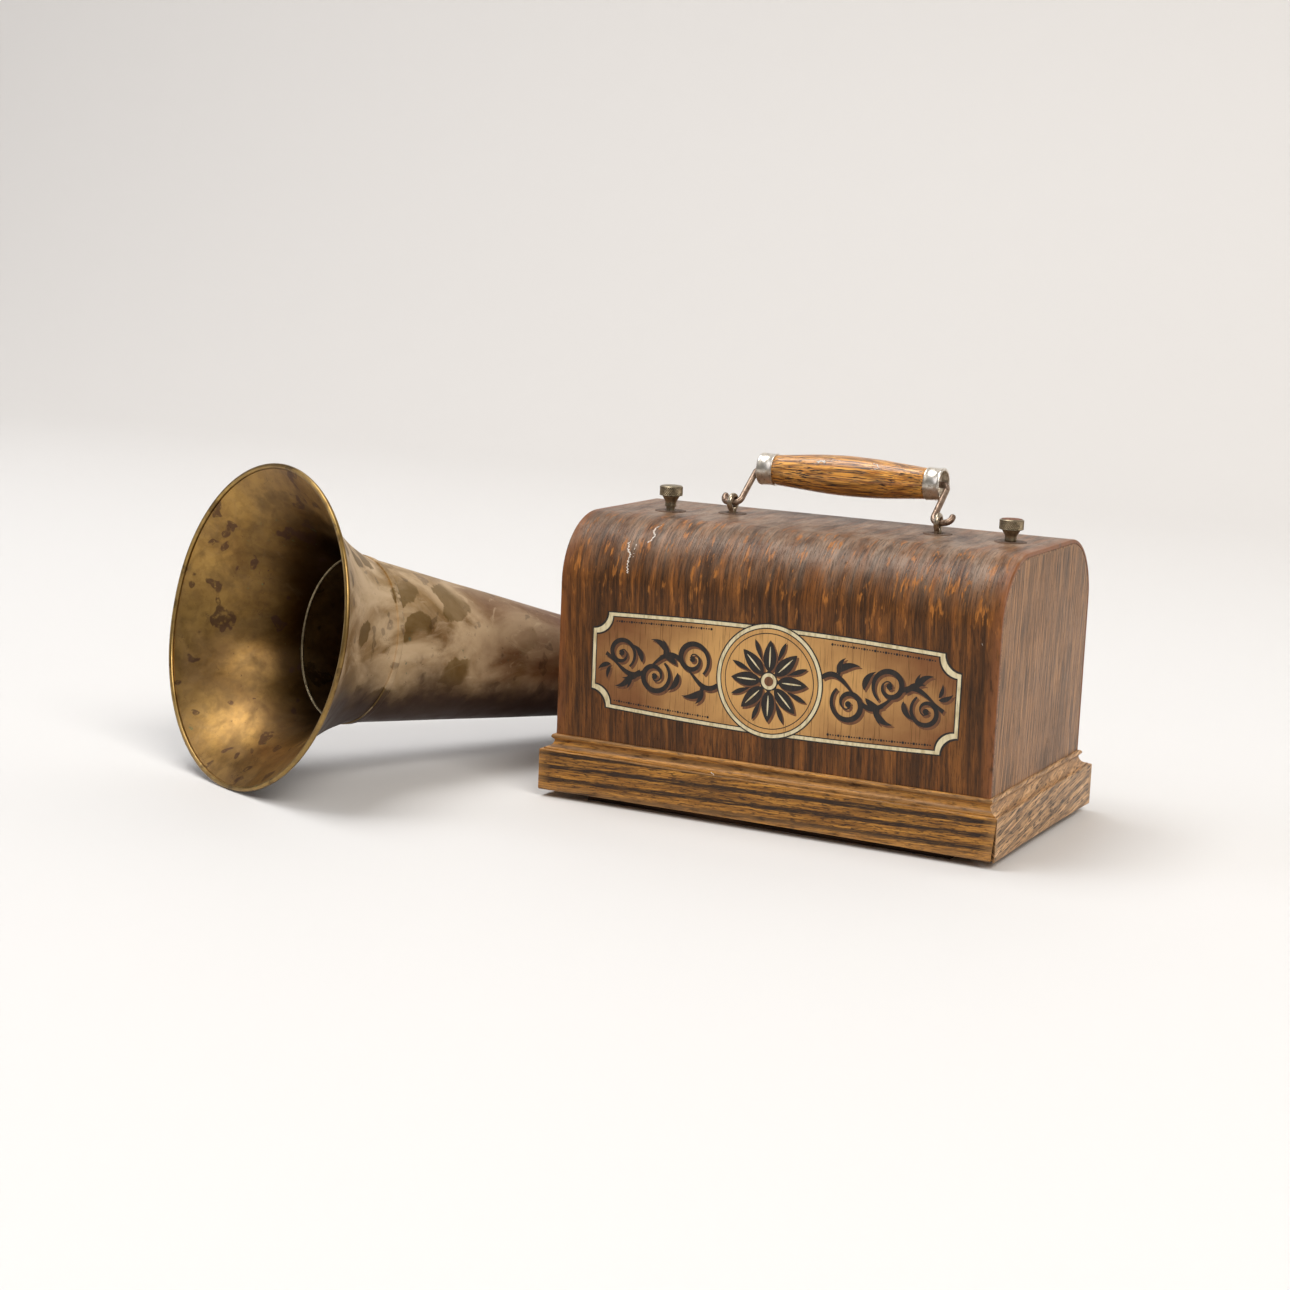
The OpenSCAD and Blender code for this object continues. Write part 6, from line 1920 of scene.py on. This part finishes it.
@dataclass
class Studio:
    """A pale floor that sweeps up into the wall, soft lights, and the camera at the photograph's angle.

    The lights' places and sizes are metres, like the values whose names end in _m; their power is watts.
    """

    floor_colour: str = "#e0dfde"
    wall_colour: str = "#d9d6d3"
    wall_from_m: Pair = (0.2, 2.2)
    half_width: float = 6000.0
    floor_end: float = 1500.0
    sweep_r: float = 900.0
    wall_h: float = 5000.0
    room_colour: str = "#f1eeea"
    room_light: float = 0.2
    aim_m: Triple = (-0.05, 0, 0.08)
    camera_m: Triple = (0.5167, -1.2135, 0.3175)
    yaw: float = -0.4773
    pitch: float = 0.1743
    roll: float = 0.0399
    lens_mm: float = 67.35

    def build(self) -> None:
        """Sets floor, lights and camera."""
        self.sweep()
        self.lights()
        self.camera()

    def sweep(self) -> None:
        """Makes the floor and the backdrop in one curved sheet."""
        wide, r = self.half_width, self.sweep_r
        profile = [(-wide, 0.0), *arc((self.floor_end, r), r, -90, 0, 24), (self.floor_end + r, self.wall_h)]
        rows = [[Vector((x, y, z)) for x in (-wide, wide)] for y, z in profile]
        mesh = bpy.data.meshes.new("studio_sweep")
        verts = [v * MM for row in rows for v in row]
        faces = [(2 * i, 2 * i + 1, 2 * i + 3, 2 * i + 2) for i in range(len(rows) - 1)]
        mesh.from_pydata(verts, [], faces)
        mesh.shade_smooth()
        paper = bpy.data.materials.new("studio_paper")
        paper.use_nodes = True
        tree = paper.node_tree
        shader = tree.nodes["Principled BSDF"]
        height = add_node(tree, "ShaderNodeSeparateXYZ",
                          links={0: add_node(tree, "ShaderNodeTexCoord").outputs["Object"]}).outputs[1]
        on_wall = take(tree, Step.MASK, height, *self.wall_from_m)
        colour = take(tree, Step.LAY, self.floor_colour, self.wall_colour, on_wall)
        tree.links.new(colour, shader.inputs["Base Color"])
        shader.inputs["Roughness"].default_value = 0.6
        shader.inputs["Specular IOR Level"].default_value = 0.2
        mesh.materials.append(paper)
        sheet = put("studio_sweep", mesh)

    def lights(self) -> None:
        """Hangs the soft lights and sets the room's light."""
        for name, place, size, watts, colour in (
                ("key", (3.1, -2.4, 3.8), (3.2, 2.4), 205.0, "#fffaf3"),
                ("overhead", (-1.5, -0.3, 4.6), (3.2, 2.2), 140.0, "#ffffff"),
                ("left_fill", (-3.8, -1.8, 2.2), (2.4, 2.8), 42.0, "#f4f6ff")):
            lamp = bpy.data.lights.new(name, "AREA")
            lamp.shape = "RECTANGLE"
            lamp.size, lamp.size_y = size
            lamp.energy = watts
            lamp.color = linear(colour)[:3]
            item = put(name, lamp)
            item.location = place
            item.rotation_mode = "QUATERNION"
            item.rotation_quaternion = (Vector(self.aim_m) - Vector(place)).to_track_quat("-Z", "Y")
        world = bpy.data.worlds.new("studio_room")
        world.use_nodes = True
        background = world.node_tree.nodes["Background"]
        background.inputs["Color"].default_value = linear(self.room_colour)
        background.inputs["Strength"].default_value = self.room_light
        bpy.context.scene.world = world
        bpy.context.scene.view_settings.view_transform = "Standard"

    def camera(self) -> None:
        """Puts the camera where the photograph was taken from."""
        yaw, pitch, roll = self.yaw, self.pitch, self.roll
        ahead = Vector((math.sin(yaw), math.cos(yaw), 0))
        right = Vector((math.cos(yaw), -math.sin(yaw), 0))
        up = Vector((0, 0, 1))
        look = math.cos(pitch) * ahead - math.sin(pitch) * up
        top = math.sin(pitch) * ahead + math.cos(pitch) * up
        side = math.cos(roll) * right + math.sin(roll) * top
        crown = -math.sin(roll) * right + math.cos(roll) * top
        data = bpy.data.cameras.new("photo_camera")
        data.lens = self.lens_mm
        data.sensor_width = 36.0
        data.clip_start = 0.05
        item = put("photo_camera", data)
        turn = Matrix((side, crown, -look)).transposed()
        item.matrix_world = Matrix.Translation(self.camera_m) @ turn.to_4x4()
        bpy.context.scene.camera = item


def main() -> None:
    """Builds the whole object, then the studio."""
    logging.basicConfig(level=logging.INFO, format="%(message)s")
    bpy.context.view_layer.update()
    cover = Cover()
    cover.build()
    top = cover.shape.top_z + cover.washer_t
    for name, node, place, out, spot in (
            ("knurled_screw_left", "cover_screw_left", cover.screws[0], 2.0, False),
            ("knurled_screw_right", "cover_screw_right", cover.screws[1], 0.0, True)):
        CoverScrew(name, node, (place[0], place[1], top + out), spot).build()
    Handle().build()
    Transfer().build()
    Plinth().build()
    Horn().build()
    Scrapes().build()
    Works().build()
    Studio().build()


if __name__ == "__main__":
    main()
